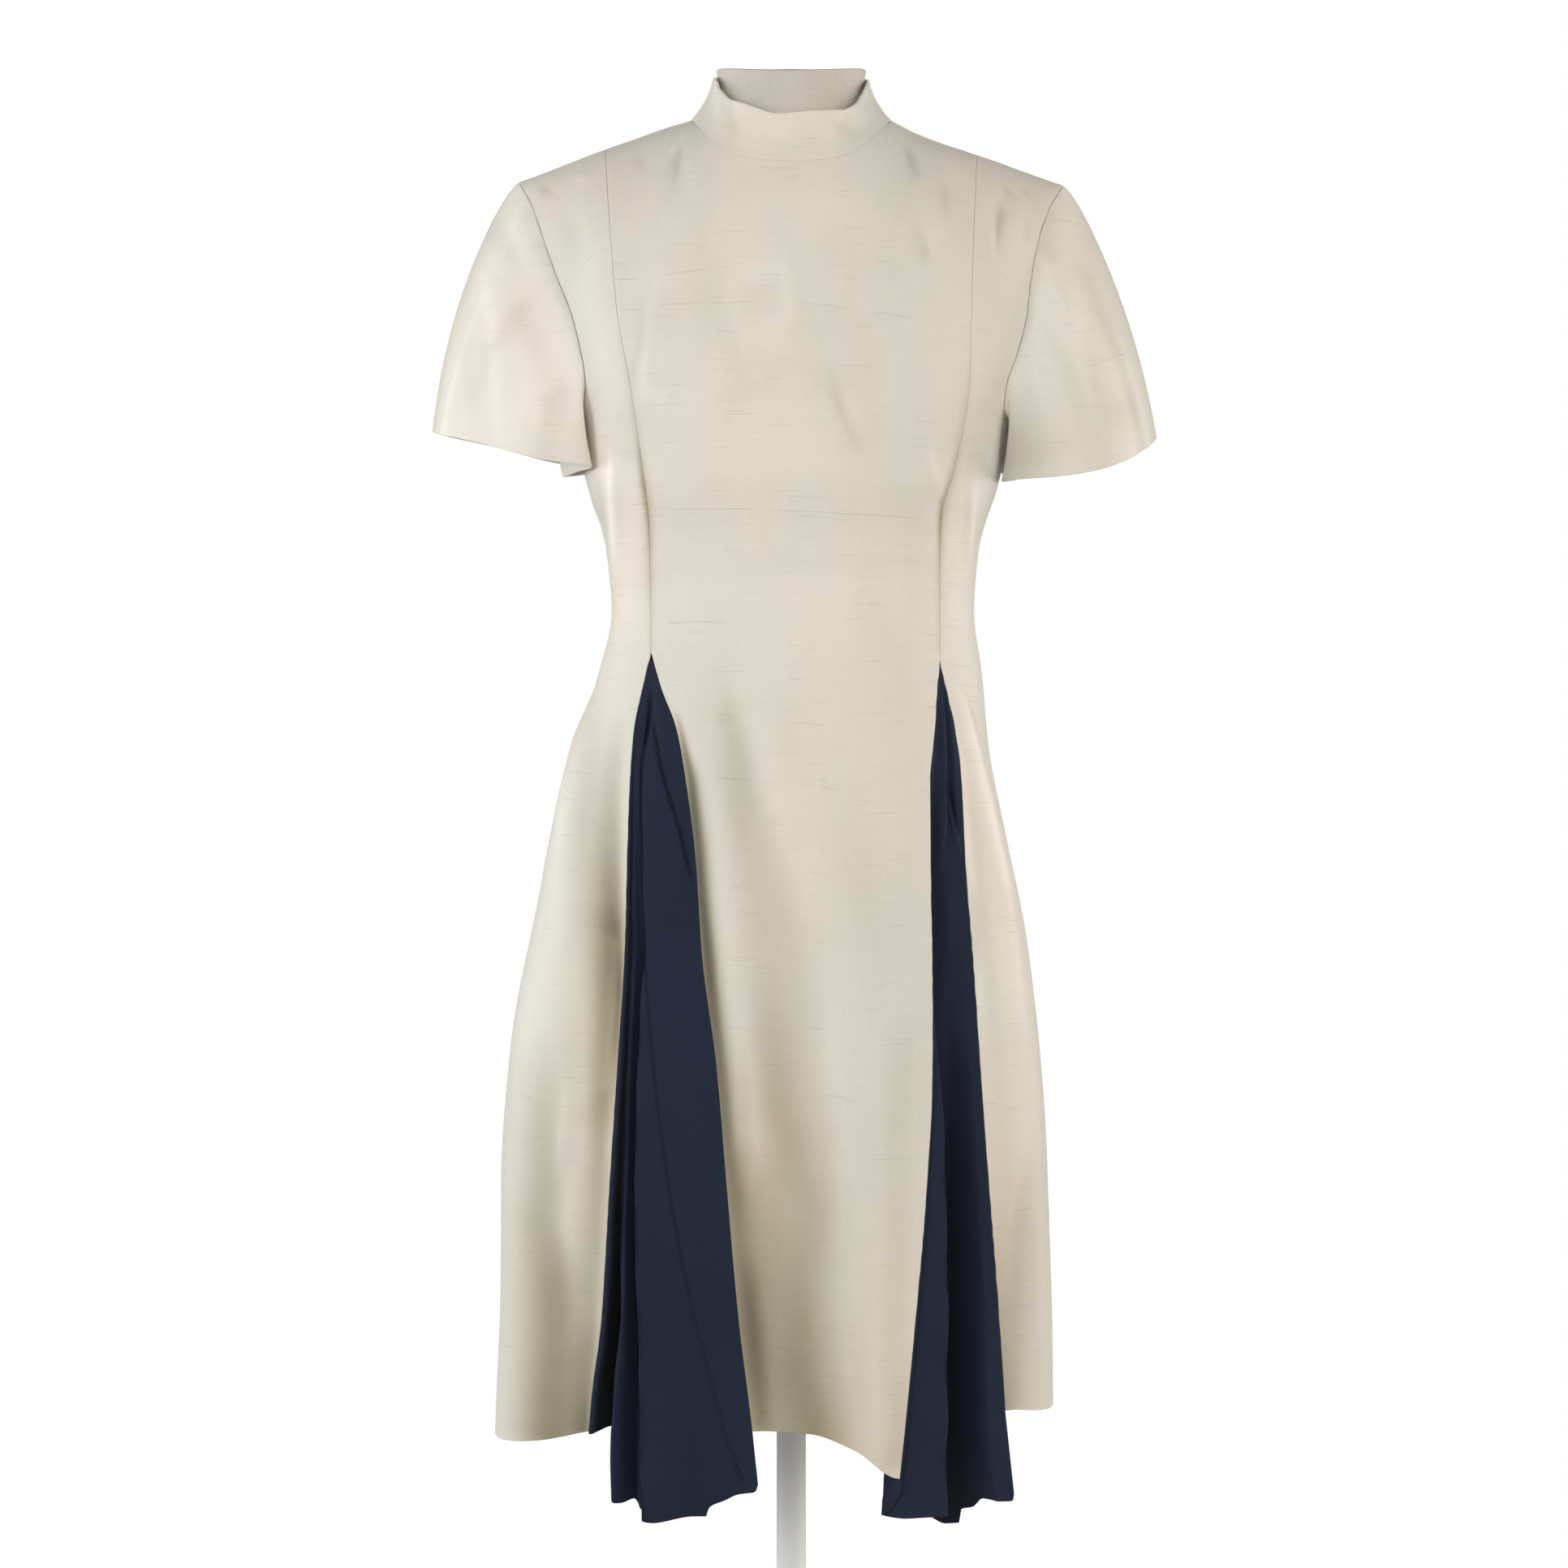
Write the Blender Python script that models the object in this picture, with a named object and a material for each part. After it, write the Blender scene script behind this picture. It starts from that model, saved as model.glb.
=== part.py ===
"""An a-line dress on a limbless dress form, at its real size in metres.

+Z is up, the front faces -Y and the origin is under the middle of the stand's base. Left and right
are those of a person who looks at the front: left is -X.

The dress is knee length, with a stand collar, short set-in sleeves, a long seam from each shoulder
to each side of the waist, and a darker godet let in below each of those seams. Every cut piece is
its own closed wall of cloth, and neighbouring pieces keep a seam's gap to each other.
"""
import bmesh
import bpy
import numpy as np
from mathutils import Vector

# ---- Cloth -----------------------------------------------------------------------------------
CLOTH = 0.0015           # the silk with its seam allowances
COLLAR_CLOTH = 0.0024    # the collar is folded double
CREPE = 0.0012           # the godets' lighter cloth
SEAM_GAP = 0.0003        # between the edges of two pieces
SLEEVE_GAP = 0.0008      # the same at the armhole, where the pieces meet at an angle
SQUARENESS = 2.4         # how square a section of the dress is; 2 is an ellipse


def table(columns, *rows):
    """Rows of plain sizes, read back as one array for each named column."""
    return dict(zip(columns.split(), np.array(rows, float).T))


# The dress in level sections, from the godets' hem up to above the shoulders.
BODY = table(
    "z      left   right  front  back",
    (0.360, 0.225, 0.198, 0.172, 0.170),
    (0.420, 0.224, 0.198, 0.168, 0.166),
    (0.520, 0.220, 0.197, 0.158, 0.158),
    (0.620, 0.219, 0.194, 0.148, 0.150),
    (0.710, 0.213, 0.188, 0.139, 0.142),
    (0.800, 0.197, 0.177, 0.130, 0.134),
    (0.875, 0.180, 0.162, 0.122, 0.126),
    (0.943, 0.163, 0.149, 0.113, 0.112),
    (0.998, 0.146, 0.144, 0.103, 0.094),
    (1.045, 0.136, 0.138, 0.096, 0.082),
    (1.090, 0.140, 0.1415, 0.107, 0.086),
    (1.146, 0.156, 0.158, 0.122, 0.096),
    (1.185, 0.163, 0.165, 0.122, 0.102),
    (1.230, 0.184, 0.184, 0.113, 0.108),
    (1.280, 0.198, 0.198, 0.098, 0.108),
    (1.340, 0.212, 0.212, 0.078, 0.098),
    (1.380, 0.215, 0.215, 0.068, 0.092),
    (1.450, 0.215, 0.215, 0.060, 0.090))

# The shoulder line, from the middle of the neck out, and how far below it the cloth has rolled over.
SHOULDER = table(
    "x      z",
    (0.000, 1.4370),
    (0.040, 1.4320),
    (0.076, 1.4160),
    (0.108, 1.4020),
    (0.140, 1.3905),
    (0.180, 1.3760),
    (0.206, 1.3680),
    (0.240, 1.3600))
FRONT_ROLL = 0.090
BACK_ROLL = 0.050

# ---- Seams and edges, each as x against z ------------------------------------------------------
NECK_HALF_WIDTH = 0.076
NECK_FRONT_Z = 1.3760
NECK_BACK_Z = 1.4240
NECK_LEVEL = 1.400       # where the neck points' place round the section is taken
NECKLINE_POWER = 1.3     # how sharply the neckline dips in the middle
CENTRE_OFFSET = 1e-5     # tells the left back's centre edge from the right back's
TOP_FRACTIONS = (0.0, 0.012, 0.05, 0.12, 0.24, 0.42, 0.68)    # rows from the shoulder to the underarm
ARMHOLE_RUNS = (0.0, 0.02, 0.07, 0.15, 0.30, 0.50, 0.76, 1.0)   # the same rows along the armhole
UNDERARM_Z = 1.185
LEVELS = (1.150, 1.110, 1.075, 1.045, 1.012, 1.006, 0.985, 0.955, 0.915, 0.860, 0.790, 0.710, 0.620, 0.530)
APEX_LEVEL = 1.012                                # where both godets begin

PRINCESS = table(
    "z      left    right",
    (1.012, -0.104, 0.110),
    (1.075, -0.104, 0.109),
    (1.110, -0.105, 0.110),
    (1.150, -0.110, 0.121),
    (1.210, -0.119, 0.131),
    (1.265, -0.129, 0.133),
    (1.320, -0.134, 0.135),
    (1.392, -0.140, 0.140))

# Below the apex the seam parts: each godet lies between a side panel's edge and the front's edge.
LEFT_GODET_EDGES = table(
    "z      side    front",
    (0.420, -0.148, -0.025),
    (0.530, -0.138, -0.039),
    (0.620, -0.133, -0.047),
    (0.710, -0.128, -0.055),
    (0.790, -0.123, -0.066),
    (0.860, -0.121, -0.071),
    (0.915, -0.119, -0.078),
    (0.955, -0.116, -0.085),
    (0.985, -0.110, -0.096),
    (1.012, -0.104, -0.104))
RIGHT_GODET_EDGES = table(
    "z      front  side",
    (0.415, 0.078, 0.158),
    (0.530, 0.090, 0.151),
    (0.620, 0.098, 0.144),
    (0.710, 0.103, 0.138),
    (0.790, 0.103, 0.133),
    (0.860, 0.102, 0.128),
    (0.915, 0.102, 0.126),
    (0.955, 0.106, 0.121),
    (0.985, 0.108, 0.115),
    (1.012, 0.110, 0.110))

# The silk's hem height, all round the front and straight across the back.
FRONT_HEM = table(
    "x       z",
    (-0.224, 0.426),
    (-0.190, 0.434),
    (-0.146, 0.446),
    (-0.031, 0.450),
    (0.014, 0.448),
    (0.045, 0.437),
    (0.078, 0.416),
    (0.100, 0.440),
    (0.156, 0.458),
    (0.198, 0.448))
BACK_HEM = table(
    "x       z",
    (-0.224, 0.426),
    (0.000, 0.440),
    (0.198, 0.448))
# Where the front's edge, the side panel's godet seam and the side seam meet the hem.
HEM_X = {
    "left": {"front": -0.029, "godet": -0.146, "side": -0.224},
    "right": {"front": 0.078, "godet": 0.156, "side": 0.198}}

# ---- Armholes and sleeves: x outwards, y backwards on the back half and forwards on the front -----
ARMHOLE = table(
    "run   z      left   right",
    (0.00, 1.368, 0.206, 0.206),
    (0.12, 1.345, 0.194, 0.193),
    (0.26, 1.314, 0.183, 0.183),
    (0.38, 1.287, 0.173, 0.178),
    (0.50, 1.262, 0.163, 0.175),
    (0.62, 1.235, 0.156, 0.168),
    (0.74, 1.212, 0.152, 0.160),
    (0.86, 1.195, 0.154, 0.158),
    (1.00, 1.185, 0.163, 0.165))
LEFT_CUFF = table(
    "run   x      y      z",
    (0.00, 0.272, 0.000, 1.181),
    (0.15, 0.263, 0.034, 1.178),
    (0.35, 0.229, 0.062, 1.170),
    (0.55, 0.188, 0.071, 1.160),
    (0.72, 0.150, 0.068, 1.153),
    (0.86, 0.161, 0.036, 1.153),
    (1.00, 0.169, 0.000, 1.154))
RIGHT_CUFF = table(
    "run   x      y      z",
    (0.00, 0.277, 0.000, 1.176),
    (0.15, 0.266, 0.036, 1.165),
    (0.35, 0.233, 0.064, 1.149),
    (0.55, 0.196, 0.072, 1.142),
    (0.72, 0.156, 0.068, 1.141),
    (0.86, 0.164, 0.038, 1.141),
    (1.00, 0.172, 0.000, 1.142))
SLEEVE_CAP = 0.022       # how far the sleeve's head stands out of the straight line to its hem
SLEEVE_BELLY = 0.006     # the same at its front and back
UNDERARM_EASE = 0.014    # how far the sleeve first leaves the body under the arm, before it hangs
SLEEVE_ROWS = 7

# ---- Collar: its top edge, by the angle round the neck from the front ------------------------------
COLLAR_TOP = table(
    "angle  x      y       z",
    (0.0,   0.000, -0.059, 1.4125),
    (25.0,  0.027, -0.056, 1.4140),
    (50.0,  0.047, -0.043, 1.4240),
    (75.0,  0.059, -0.017, 1.4460),
    (100.0, 0.061,  0.006, 1.4510),
    (140.0, 0.044,  0.042, 1.4560),
    (180.0, 0.000,  0.051, 1.4580))
COLLAR_ROWS = 4
COLLAR_GAP = 0.00045     # between the collar and the neckline that it stands on
COLLAR_BELLY = 0.002

# ---- Godets: folds as (place along the opening, depth behind its chord) from one edge to the other --
LEFT_FOLDS = table(
    "z      pos_a depth_a pos_b depth_b pos_c depth_c pos_d depth_d pos_e depth_e pos_f depth_f pos_g depth_g",
    (0.380, 0.06, 0.046, 0.18, 0.006, 0.25, 0.030, 0.30, 0.008, 0.33, 0.020, 0.37, -0.003, 0.74, 0.010),
    (0.446, 0.07, 0.044, 0.18, 0.005, 0.25, 0.030, 0.29, 0.008, 0.33, 0.020, 0.36, -0.003, 0.76, 0.010),
    (0.530, 0.07, 0.030, 0.17, 0.006, 0.23, 0.022, 0.28, 0.008, 0.31, 0.020, 0.34, -0.003, 0.66, 0.004),
    (0.620, 0.07, 0.012, 0.14, 0.006, 0.19, 0.010, 0.21, 0.014, 0.24, 0.019, 0.29, -0.004, 0.56, 0.002),
    (0.710, 0.06, 0.005, 0.12, 0.006, 0.16, 0.009, 0.19, 0.013, 0.23, 0.016, 0.30, -0.004, 0.56, 0.000),
    (0.790, 0.06, 0.004, 0.11, 0.005, 0.14, 0.008, 0.17, 0.010, 0.22, 0.012, 0.30, -0.002, 0.60, 0.001),
    (0.860, 0.06, 0.003, 0.11, 0.004, 0.14, 0.006, 0.17, 0.008, 0.22, 0.009, 0.32, -0.001, 0.66, 0.003),
    (0.955, 0.08, 0.001, 0.14, 0.001, 0.18, 0.002, 0.22, 0.002, 0.27, 0.003, 0.42,  0.000, 0.70, 0.001),
    (0.985, 0.12, 0.000, 0.24, 0.000, 0.36, 0.000, 0.48, 0.000, 0.60, 0.000, 0.74,  0.000, 0.86, 0.000))
RIGHT_FOLDS = table(
    "z      pos_a depth_a pos_b depth_b pos_c depth_c pos_d depth_d pos_e depth_e",
    (0.380, 0.05, 0.018, 0.26, -0.002, 0.40, 0.006, 0.54, 0.036, 0.80, 0.002),
    (0.446, 0.05, 0.018, 0.26, -0.001, 0.38, 0.006, 0.53, 0.034, 0.79, 0.002),
    (0.530, 0.05, 0.014, 0.24, 0.000, 0.36, 0.006, 0.52, 0.028, 0.80, 0.002),
    (0.620, 0.06, 0.010, 0.22, 0.002, 0.34, 0.006, 0.50, 0.020, 0.78, 0.002),
    (0.710, 0.08, 0.008, 0.22, 0.003, 0.34, 0.005, 0.50, 0.011, 0.76, 0.002),
    (0.860, 0.12, 0.004, 0.26, 0.002, 0.42, 0.000, 0.56, 0.002, 0.78, 0.003),
    (0.955, 0.14, 0.001, 0.28, 0.001, 0.44, 0.000, 0.60, 0.001, 0.80, 0.001),
    (0.985, 0.17, 0.000, 0.34, 0.000, 0.50, 0.000, 0.67, 0.000, 0.83, 0.000))
# The godets' own hem, along the cloth from the left edge to the right edge as they are seen.
LEFT_GODET_HEM = table(
    "run   z",
    (0.00, 0.440),
    (0.16, 0.428),
    (0.32, 0.396),
    (0.48, 0.388),
    (0.64, 0.381),
    (0.86, 0.384),
    (1.00, 0.408))
RIGHT_GODET_HEM = table(
    "run   z",
    (0.00, 0.404),
    (0.12, 0.389),
    (0.40, 0.385),
    (0.58, 0.376),
    (0.72, 0.390),
    (0.90, 0.392),
    (1.00, 0.428))
GODET_COLUMNS = 21
GODET_SEAM = 0.0025      # the strip along each seam that follows the silk before the folds begin
GODET_SEAM_SHARE = 0.03  # the most of the opening's width that such a strip takes
GODET_DROP = 0.42        # share of the way from the silk's hem to the godet's hem for the row between
GODET_OVERHANG = 0.004   # the least that the godet's hem lies below the silk's hem

# ---- Zip in the centre back seam ---------------------------------------------------------------
ZIP_END_Z = 0.955
ZIP_HALF_WIDTH = 0.011
ZIP_TAPE = 0.0008
SLIDER_Z = 1.4100        # where the slider stops, just under the collar
SLIDER_HEIGHT = 0.0024   # off the cloth
BRIDGE_REACH = 0.0048    # outside of the bridge, along the slider, each way
BRIDGE_BAR = 0.0010      # thickness of the bridge
BRIDGE_WIDTH = 0.0014
BRIDGE_GAP = 0.0021      # room for the pull's bar under the bridge
BRIDGE_SUNK = 0.0006     # how deep the bridge's feet stand in the slider
BRIDGE_CORNER = 0.0006   # cut off the bridge's outer corners
PULL_BAR = 0.0012        # thickness of the pull, and of its bar
# Half outlines, from the top down. The slider's counts from its middle, the pull's from its bar.
SLIDER_OUTLINE = table(
    "down      half",
    (-0.00475, 0.00310),
    (0.00190, 0.00310),
    (0.00475, 0.00207))
PULL_OUTLINE = table(
    "down      half",
    (-0.00060, 0.00203),
    (0.00640, 0.00230),
    (0.01430, 0.00270),
    (0.01620, 0.00162),
    (0.01700, 0.00030))
WINDOW_OUTLINE = table(
    "down      half",
    (0.00060, 0.00120),
    (0.00580, 0.00120),
    (0.00640, 0.00040))

# ---- Form: rings of a general torso, from the cut neck down to the hips -----------------------------
FORM_RINGS = table(
    "z_front z_side z_back  half    front  back   square",
    (1.4462, 1.4563, 1.4640, 0.0560, 0.052, 0.043, 2.0),
    (1.4250, 1.4400, 1.4500, 0.0550, 0.052, 0.044, 2.0),
    (1.4020, 1.4220, 1.4320, 0.0580, 0.054, 0.048, 2.0),
    (1.3720, 1.4110, 1.4150, 0.0740, 0.060, 0.058, 2.0),
    (1.3350, 1.3902, 1.3700, 0.1350, 0.074, 0.084, 1.8),
    (1.2900, 1.3620, 1.3100, 0.1950, 0.088, 0.094, 1.8),
    (1.2500, 1.3200, 1.2600, 0.1780, 0.100, 0.099, 1.9),
    (1.2150, 1.2500, 1.2150, 0.1460, 0.108, 0.096, 2.1),
    (1.1850, 1.1850, 1.1850, 0.1480, 0.112, 0.093, 2.25),
    (1.1460, 1.1460, 1.1460, 0.1450, 0.112, 0.087, 2.25),
    (1.0900, 1.0900, 1.0900, 0.1300, 0.098, 0.077, 2.25),
    (1.0450, 1.0450, 1.0450, 0.1260, 0.087, 0.073, 2.25),
    (0.9980, 0.9980, 0.9980, 0.1310, 0.091, 0.082, 2.25),
    (0.9430, 0.9430, 0.9430, 0.1360, 0.096, 0.094, 2.25),
    (0.8750, 0.8750, 0.8750, 0.1400, 0.098, 0.100, 2.25),
    (0.8200, 0.8200, 0.8200, 0.1380, 0.094, 0.098, 2.25),
    (0.8000, 0.8000, 0.8000, 0.1300, 0.088, 0.092, 2.25))
FORM_COLUMNS = 32
FORM_TILT_POWER = 1.6    # how late a ring turns from its side's height to its front's or back's
NECK_CAP_INSET = 0.004   # the rounded rim of the neck's cut

# ---- Stand ---------------------------------------------------------------------------------------
POLE_RADIUS = 0.0110
POLE_SOCKET_TOP = 0.870  # the pole ends inside the form
POLE_SIDES = 24
BASE_RADIUS = 0.170
BASE_HEIGHT = 0.010
BASE_SIDES = 48
BOSS_RADIUS = 0.026
BOSS_HEIGHT = 0.030
EDGE_ROUND = 0.002
FIT_GAP = 0.0003         # between the pole and what it stands in

COLOURS = {              # linear red, green and blue, roughness, metallic
    "ivory_silk": ((0.68, 0.63, 0.51), 0.55, 0.0),
    "navy_crepe": ((0.018, 0.027, 0.060), 0.80, 0.0),
    "form_cover": ((0.58, 0.53, 0.45), 0.85, 0.0),
    "zip_tape": ((0.62, 0.58, 0.48), 0.80, 0.0),
    "zip_metal": ((0.62, 0.60, 0.55), 0.35, 1.0),
    "stand_paint": ((0.80, 0.79, 0.77), 0.40, 0.0)}


# ---- Curves --------------------------------------------------------------------------------------
def smooth(knots, values, at):
    """A cubic through the rows of a table that never overshoots them: each row's slope is the
    harmonic mean of the slopes on its two sides, or 0 where they differ in sign."""
    step = np.diff(knots)
    rise = np.diff(values) / step
    slope = np.zeros(len(values))
    before, after = rise[:-1], rise[1:]
    rising = before * after > 0
    slope[1:-1][rising] = 2 * before[rising] * after[rising] / (before + after)[rising]
    slope[0], slope[-1] = rise[0], rise[-1]
    at = np.clip(at, knots[0], knots[-1])
    i = np.clip(np.searchsorted(knots, at, side="right") - 1, 0, len(step) - 1)
    t = (at - knots[i]) / step[i]
    return (values[i] * (1 + 2 * t) * (1 - t) ** 2 + values[i + 1] * t * t * (3 - 2 * t)
            + step[i] * (slope[i] * t * (1 - t) ** 2 - slope[i + 1] * t * t * (1 - t)))


def column(rows, name, at, knots="z"):
    return smooth(rows[knots], rows[name], np.asarray(at, float))


def unit(vectors):
    return vectors / np.maximum(np.linalg.norm(vectors, axis=-1, keepdims=True), 1e-12)


# ---- The dress's own surface ------------------------------------------------------------------------
def half_width(x, z):
    return np.where(x < 0, column(BODY, "left", z), column(BODY, "right", z))


def shoulder_z(x):
    return column(SHOULDER, "z", np.abs(x), knots="x")


def fullness(x, z, side):
    """The square of the section's depth at x, as a share of its depth in the middle. It falls to 0
    at the side seams, and at the shoulder line as a quarter circle does."""
    across = 1 - (np.abs(x) / half_width(x, z)) ** SQUARENESS
    across = np.sign(across) * np.abs(across) ** (2 / SQUARENESS)
    drop = np.minimum((shoulder_z(x) - z) / (FRONT_ROLL if side < 0 else BACK_ROLL), 1)
    return across * (1 - (1 - drop) ** 2)


def middle_depth(z, side):
    return column(BODY, "front" if side < 0 else "back", z)


def on_body(x, z, side):
    """The point of the dress's outside at x and z, on its front (side -1) or back (side 1)."""
    y = side * middle_depth(z, side) * np.sqrt(np.clip(fullness(x, z, side), 0, 1))
    return np.stack([x, y, z], axis=-1)


def body_normal(points, side):
    """Outward normal of the dress's outside, which is the same for both pieces at a seam."""
    def level(p):
        x, y, z = p[..., 0], p[..., 1], p[..., 2]
        return y ** 2 - middle_depth(z, side) ** 2 * fullness(x, z, side)
    reach = 0.0005
    steps = reach * np.eye(3)
    return unit(np.stack([level(points + s) - level(points - s) for s in steps], axis=-1))


def angle_of(x, z):
    """The angle round a section, from 0 in the middle to a right angle at the side seam."""
    share = np.clip(np.abs(x) / half_width(x, z), 0, 1)
    return np.sign(x) * np.arcsin(share ** (SQUARENESS / 2))


def x_of(angle, z):
    return np.sign(angle) * half_width(angle, z) * np.abs(np.sin(angle)) ** (2 / SQUARENESS)


# ---- Meshes ------------------------------------------------------------------------------------------
def make_object(name, vertices, faces, material, smooth_degrees=40):
    mesh = bpy.data.meshes.new(name)
    mesh.from_pydata([tuple(v) for v in vertices], [], [tuple(f) for f in faces])
    work = bmesh.new()
    work.from_mesh(mesh)
    bmesh.ops.recalc_face_normals(work, faces=work.faces)
    work.to_mesh(mesh)
    work.free()
    mesh.shade_smooth()
    mesh.set_sharp_from_angle(angle=np.radians(smooth_degrees))
    mesh.materials.append(bpy.data.materials[material])
    thing = bpy.data.objects.new(name, mesh)
    bpy.context.collection.objects.link(thing)
    return thing


def grid_normals(points, closed):
    """Normals of a grid of points from its rows' and columns' directions."""
    if closed:
        along = np.roll(points, -1, axis=1) - np.roll(points, 1, axis=1)
    else:
        along = np.gradient(points, axis=1)
    return unit(np.cross(np.gradient(points, axis=0), along))


def wall(name, outside, inward, thickness, material, closed=False):
    """A closed wall of cloth: a grid of points, the same grid moved inwards, and the rim between."""
    rows, columns = outside.shape[:2]
    inside = outside + unit(inward) * thickness
    vertices = np.concatenate([outside.reshape(-1, 3), inside.reshape(-1, 3)])
    shift = rows * columns
    faces = []
    spans = columns if closed else columns - 1
    for r in range(rows - 1):
        for c in range(spans):
            a, b = r * columns + c, r * columns + (c + 1) % columns
            faces.append((a, b, b + columns, a + columns))
            faces.append((a + shift, a + columns + shift, b + columns + shift, b + shift))
    for c in range(spans):
        for r in (0, rows - 1):
            a, b = r * columns + c, r * columns + (c + 1) % columns
            faces.append((a, b, b + shift, a + shift))
    if not closed:
        for r in range(rows - 1):
            for c in (0, columns - 1):
                a = r * columns + c
                faces.append((a, a + columns, a + columns + shift, a + shift))
    return make_object(name, vertices, faces, material)


# ---- Cut pieces of the dress's body --------------------------------------------------------------------
def edge_rows(x_at, top_z, hem_z):
    """An edge as rows of x and z: from its top to the underarm level, the levels and the hem."""
    upper = [top_z - (top_z - UNDERARM_Z) * f for f in TOP_FRACTIONS]
    z = np.array(upper + [UNDERARM_Z] + list(LEVELS) + [hem_z])
    return np.stack([x_at(z), z], axis=-1)


def armhole_edge(side_name, hem_z):
    """The outer edge of a side piece: down the armhole to the underarm, then down the side seam."""
    sign = -1 if side_name == "left" else 1
    run = np.array(ARMHOLE_RUNS)
    upper = np.stack([sign * column(ARMHOLE, side_name, run, "run"), column(ARMHOLE, "z", run, "run")], -1)
    z = np.array(list(LEVELS) + [hem_z])
    lower = np.stack([sign * column(BODY, side_name, z), z], axis=-1)
    return np.concatenate([upper, lower])


def neckline_z(x, side):
    """The neckline dips as a cosine from the neck points to its middle."""
    middle = NECK_FRONT_Z if side < 0 else NECK_BACK_Z
    end = SHOULDER["z"][2]
    return end + (middle - end) * np.cos(np.clip(np.abs(x) / NECK_HALF_WIDTH, 0, 1) * np.pi / 2) ** NECKLINE_POWER


def top_line(x, side):
    inside_neck = np.abs(x) < NECK_HALF_WIDTH - 1e-6
    return np.where(inside_neck, neckline_z(x, side), shoulder_z(x))


def hem_line(x, side):
    rows = FRONT_HEM if side < 0 else BACK_HEM
    return column(rows, "z", x, knots="x")


def piece_points(first, last, shares, side):
    """Points of a piece between two edges. A column keeps its share of the way round the section;
    the top row is then lifted to the neckline and shoulder, and the last row put on the hem."""
    shares = np.asarray(shares, float)[None, :]
    z = first[:, None, 1] + (last[:, None, 1] - first[:, None, 1]) * shares
    start = angle_of(first[:, 0], first[:, 1])[:, None]
    end = angle_of(last[:, 0], last[:, 1])[:, None]
    angle = start + (end - start) * shares
    x = x_of(angle, z)
    fade = np.zeros(len(z))
    fade[:len(TOP_FRACTIONS)] = 1 - np.array(TOP_FRACTIONS)
    z = z + fade[:, None] * (top_line(x[0], side) - z[0])[None, :]
    z[-1, 1:-1] = hem_line(x[-1, 1:-1], side)
    return on_body(x_of(angle, z), z, side)


def narrowed(points, side, cuts):
    """The piece with its first and last columns moved in by a share of the seam's gap, and with
    its side seam moved off the middle plane."""
    points = points.copy()
    for end, neighbour, cut in ((0, 1, cuts[0]), (-1, -2, cuts[1])):
        points[:, end] += unit(points[:, neighbour] - points[:, end]) * cut
    top = points[0]
    flat_top = np.abs(top[:, 1]) < SEAM_GAP / 2
    points[0, flat_top, 1] = side * SEAM_GAP / 2
    return points


def cloth_piece(name, points, side):
    """A body piece as a wall; its last column's normals are the dress's own, so seams meet."""
    return wall(name, points, -body_normal(points, side), CLOTH, "ivory_silk")


def centre_shares(ends, columns_out, columns_neck):
    """Column shares of a piece that crosses the neck, with a column at each neck point. The ends
    are the angles of the piece's two edges at the shoulder."""
    neck = float(angle_of(np.array(NECK_HALF_WIDTH), np.array(NECK_LEVEL)))
    out = np.linspace(ends[0], -neck, columns_out + 1)[:-1]
    across = np.linspace(-neck, neck, columns_neck + 1)
    back = np.linspace(neck, ends[1], columns_out + 1)[1:]
    angles = np.concatenate([out, across, back])
    return (angles - ends[0]) / (ends[1] - ends[0])


def front_edge(side_name, rows, edges):
    """An edge of the front piece: the long seam above the apex, the godet's front edge below."""
    def x_at(z):
        return np.where(z > APEX_LEVEL, column(PRINCESS, side_name, z), column(edges, rows, z))
    return x_at


def build_front():
    left_x = front_edge("left", "front", LEFT_GODET_EDGES)
    right_x = front_edge("right", "front", RIGHT_GODET_EDGES)
    first = edge_rows(left_x, shoulder_z(PRINCESS["left"][-1]), hem_line(HEM_X["left"]["front"], -1))
    last = edge_rows(right_x, shoulder_z(PRINCESS["right"][-1]), hem_line(HEM_X["right"]["front"], -1))
    ends = [float(angle_of(edge[0, 0], edge[0, 1])) for edge in (first, last)]
    points = piece_points(first, last, centre_shares(ends, 2, 10), -1)
    points = narrowed(points, -1, (SEAM_GAP / 2, SEAM_GAP / 2))
    cloth_piece("front_center", points, -1)
    return points


def build_side_front(side_name):
    edges = LEFT_GODET_EDGES if side_name == "left" else RIGHT_GODET_EDGES
    inner_x = front_edge(side_name, "side", edges)
    top = shoulder_z(PRINCESS[side_name][-1])
    inner = edge_rows(inner_x, top, hem_line(HEM_X[side_name]["godet"], -1))
    outer = armhole_edge(side_name, hem_line(HEM_X[side_name]["side"], -1))
    points = piece_points(inner, outer, np.linspace(0, 1, 7), -1)
    points[:, -1, 1] = np.minimum(points[:, -1, 1], -SEAM_GAP / 2)
    points = narrowed(points, -1, (SEAM_GAP / 2, 0))
    cloth_piece("side_front_" + side_name, points, -1)
    return points


def build_back(side_name):
    sign = -1 if side_name == "left" else 1
    centre = edge_rows(lambda z: sign * CENTRE_OFFSET + 0 * z, NECK_BACK_Z, hem_line(0.0, 1))
    outer = armhole_edge(side_name, hem_line(HEM_X[side_name]["side"], 1))
    neck = abs(float(angle_of(np.array(NECK_HALF_WIDTH), np.array(NECK_LEVEL))))
    tip = abs(float(angle_of(outer[0, 0], outer[0, 1])))
    shares = np.concatenate([np.linspace(0, neck, 6), np.linspace(neck, tip, 7)[1:]]) / tip
    points = piece_points(centre, outer, shares, 1)
    points[:, -1, 1] = np.maximum(points[:, -1, 1], SEAM_GAP / 2)
    points = narrowed(points, 1, (SEAM_GAP / 2, 0))
    cloth_piece("back_" + side_name, points, 1)
    return points


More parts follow.
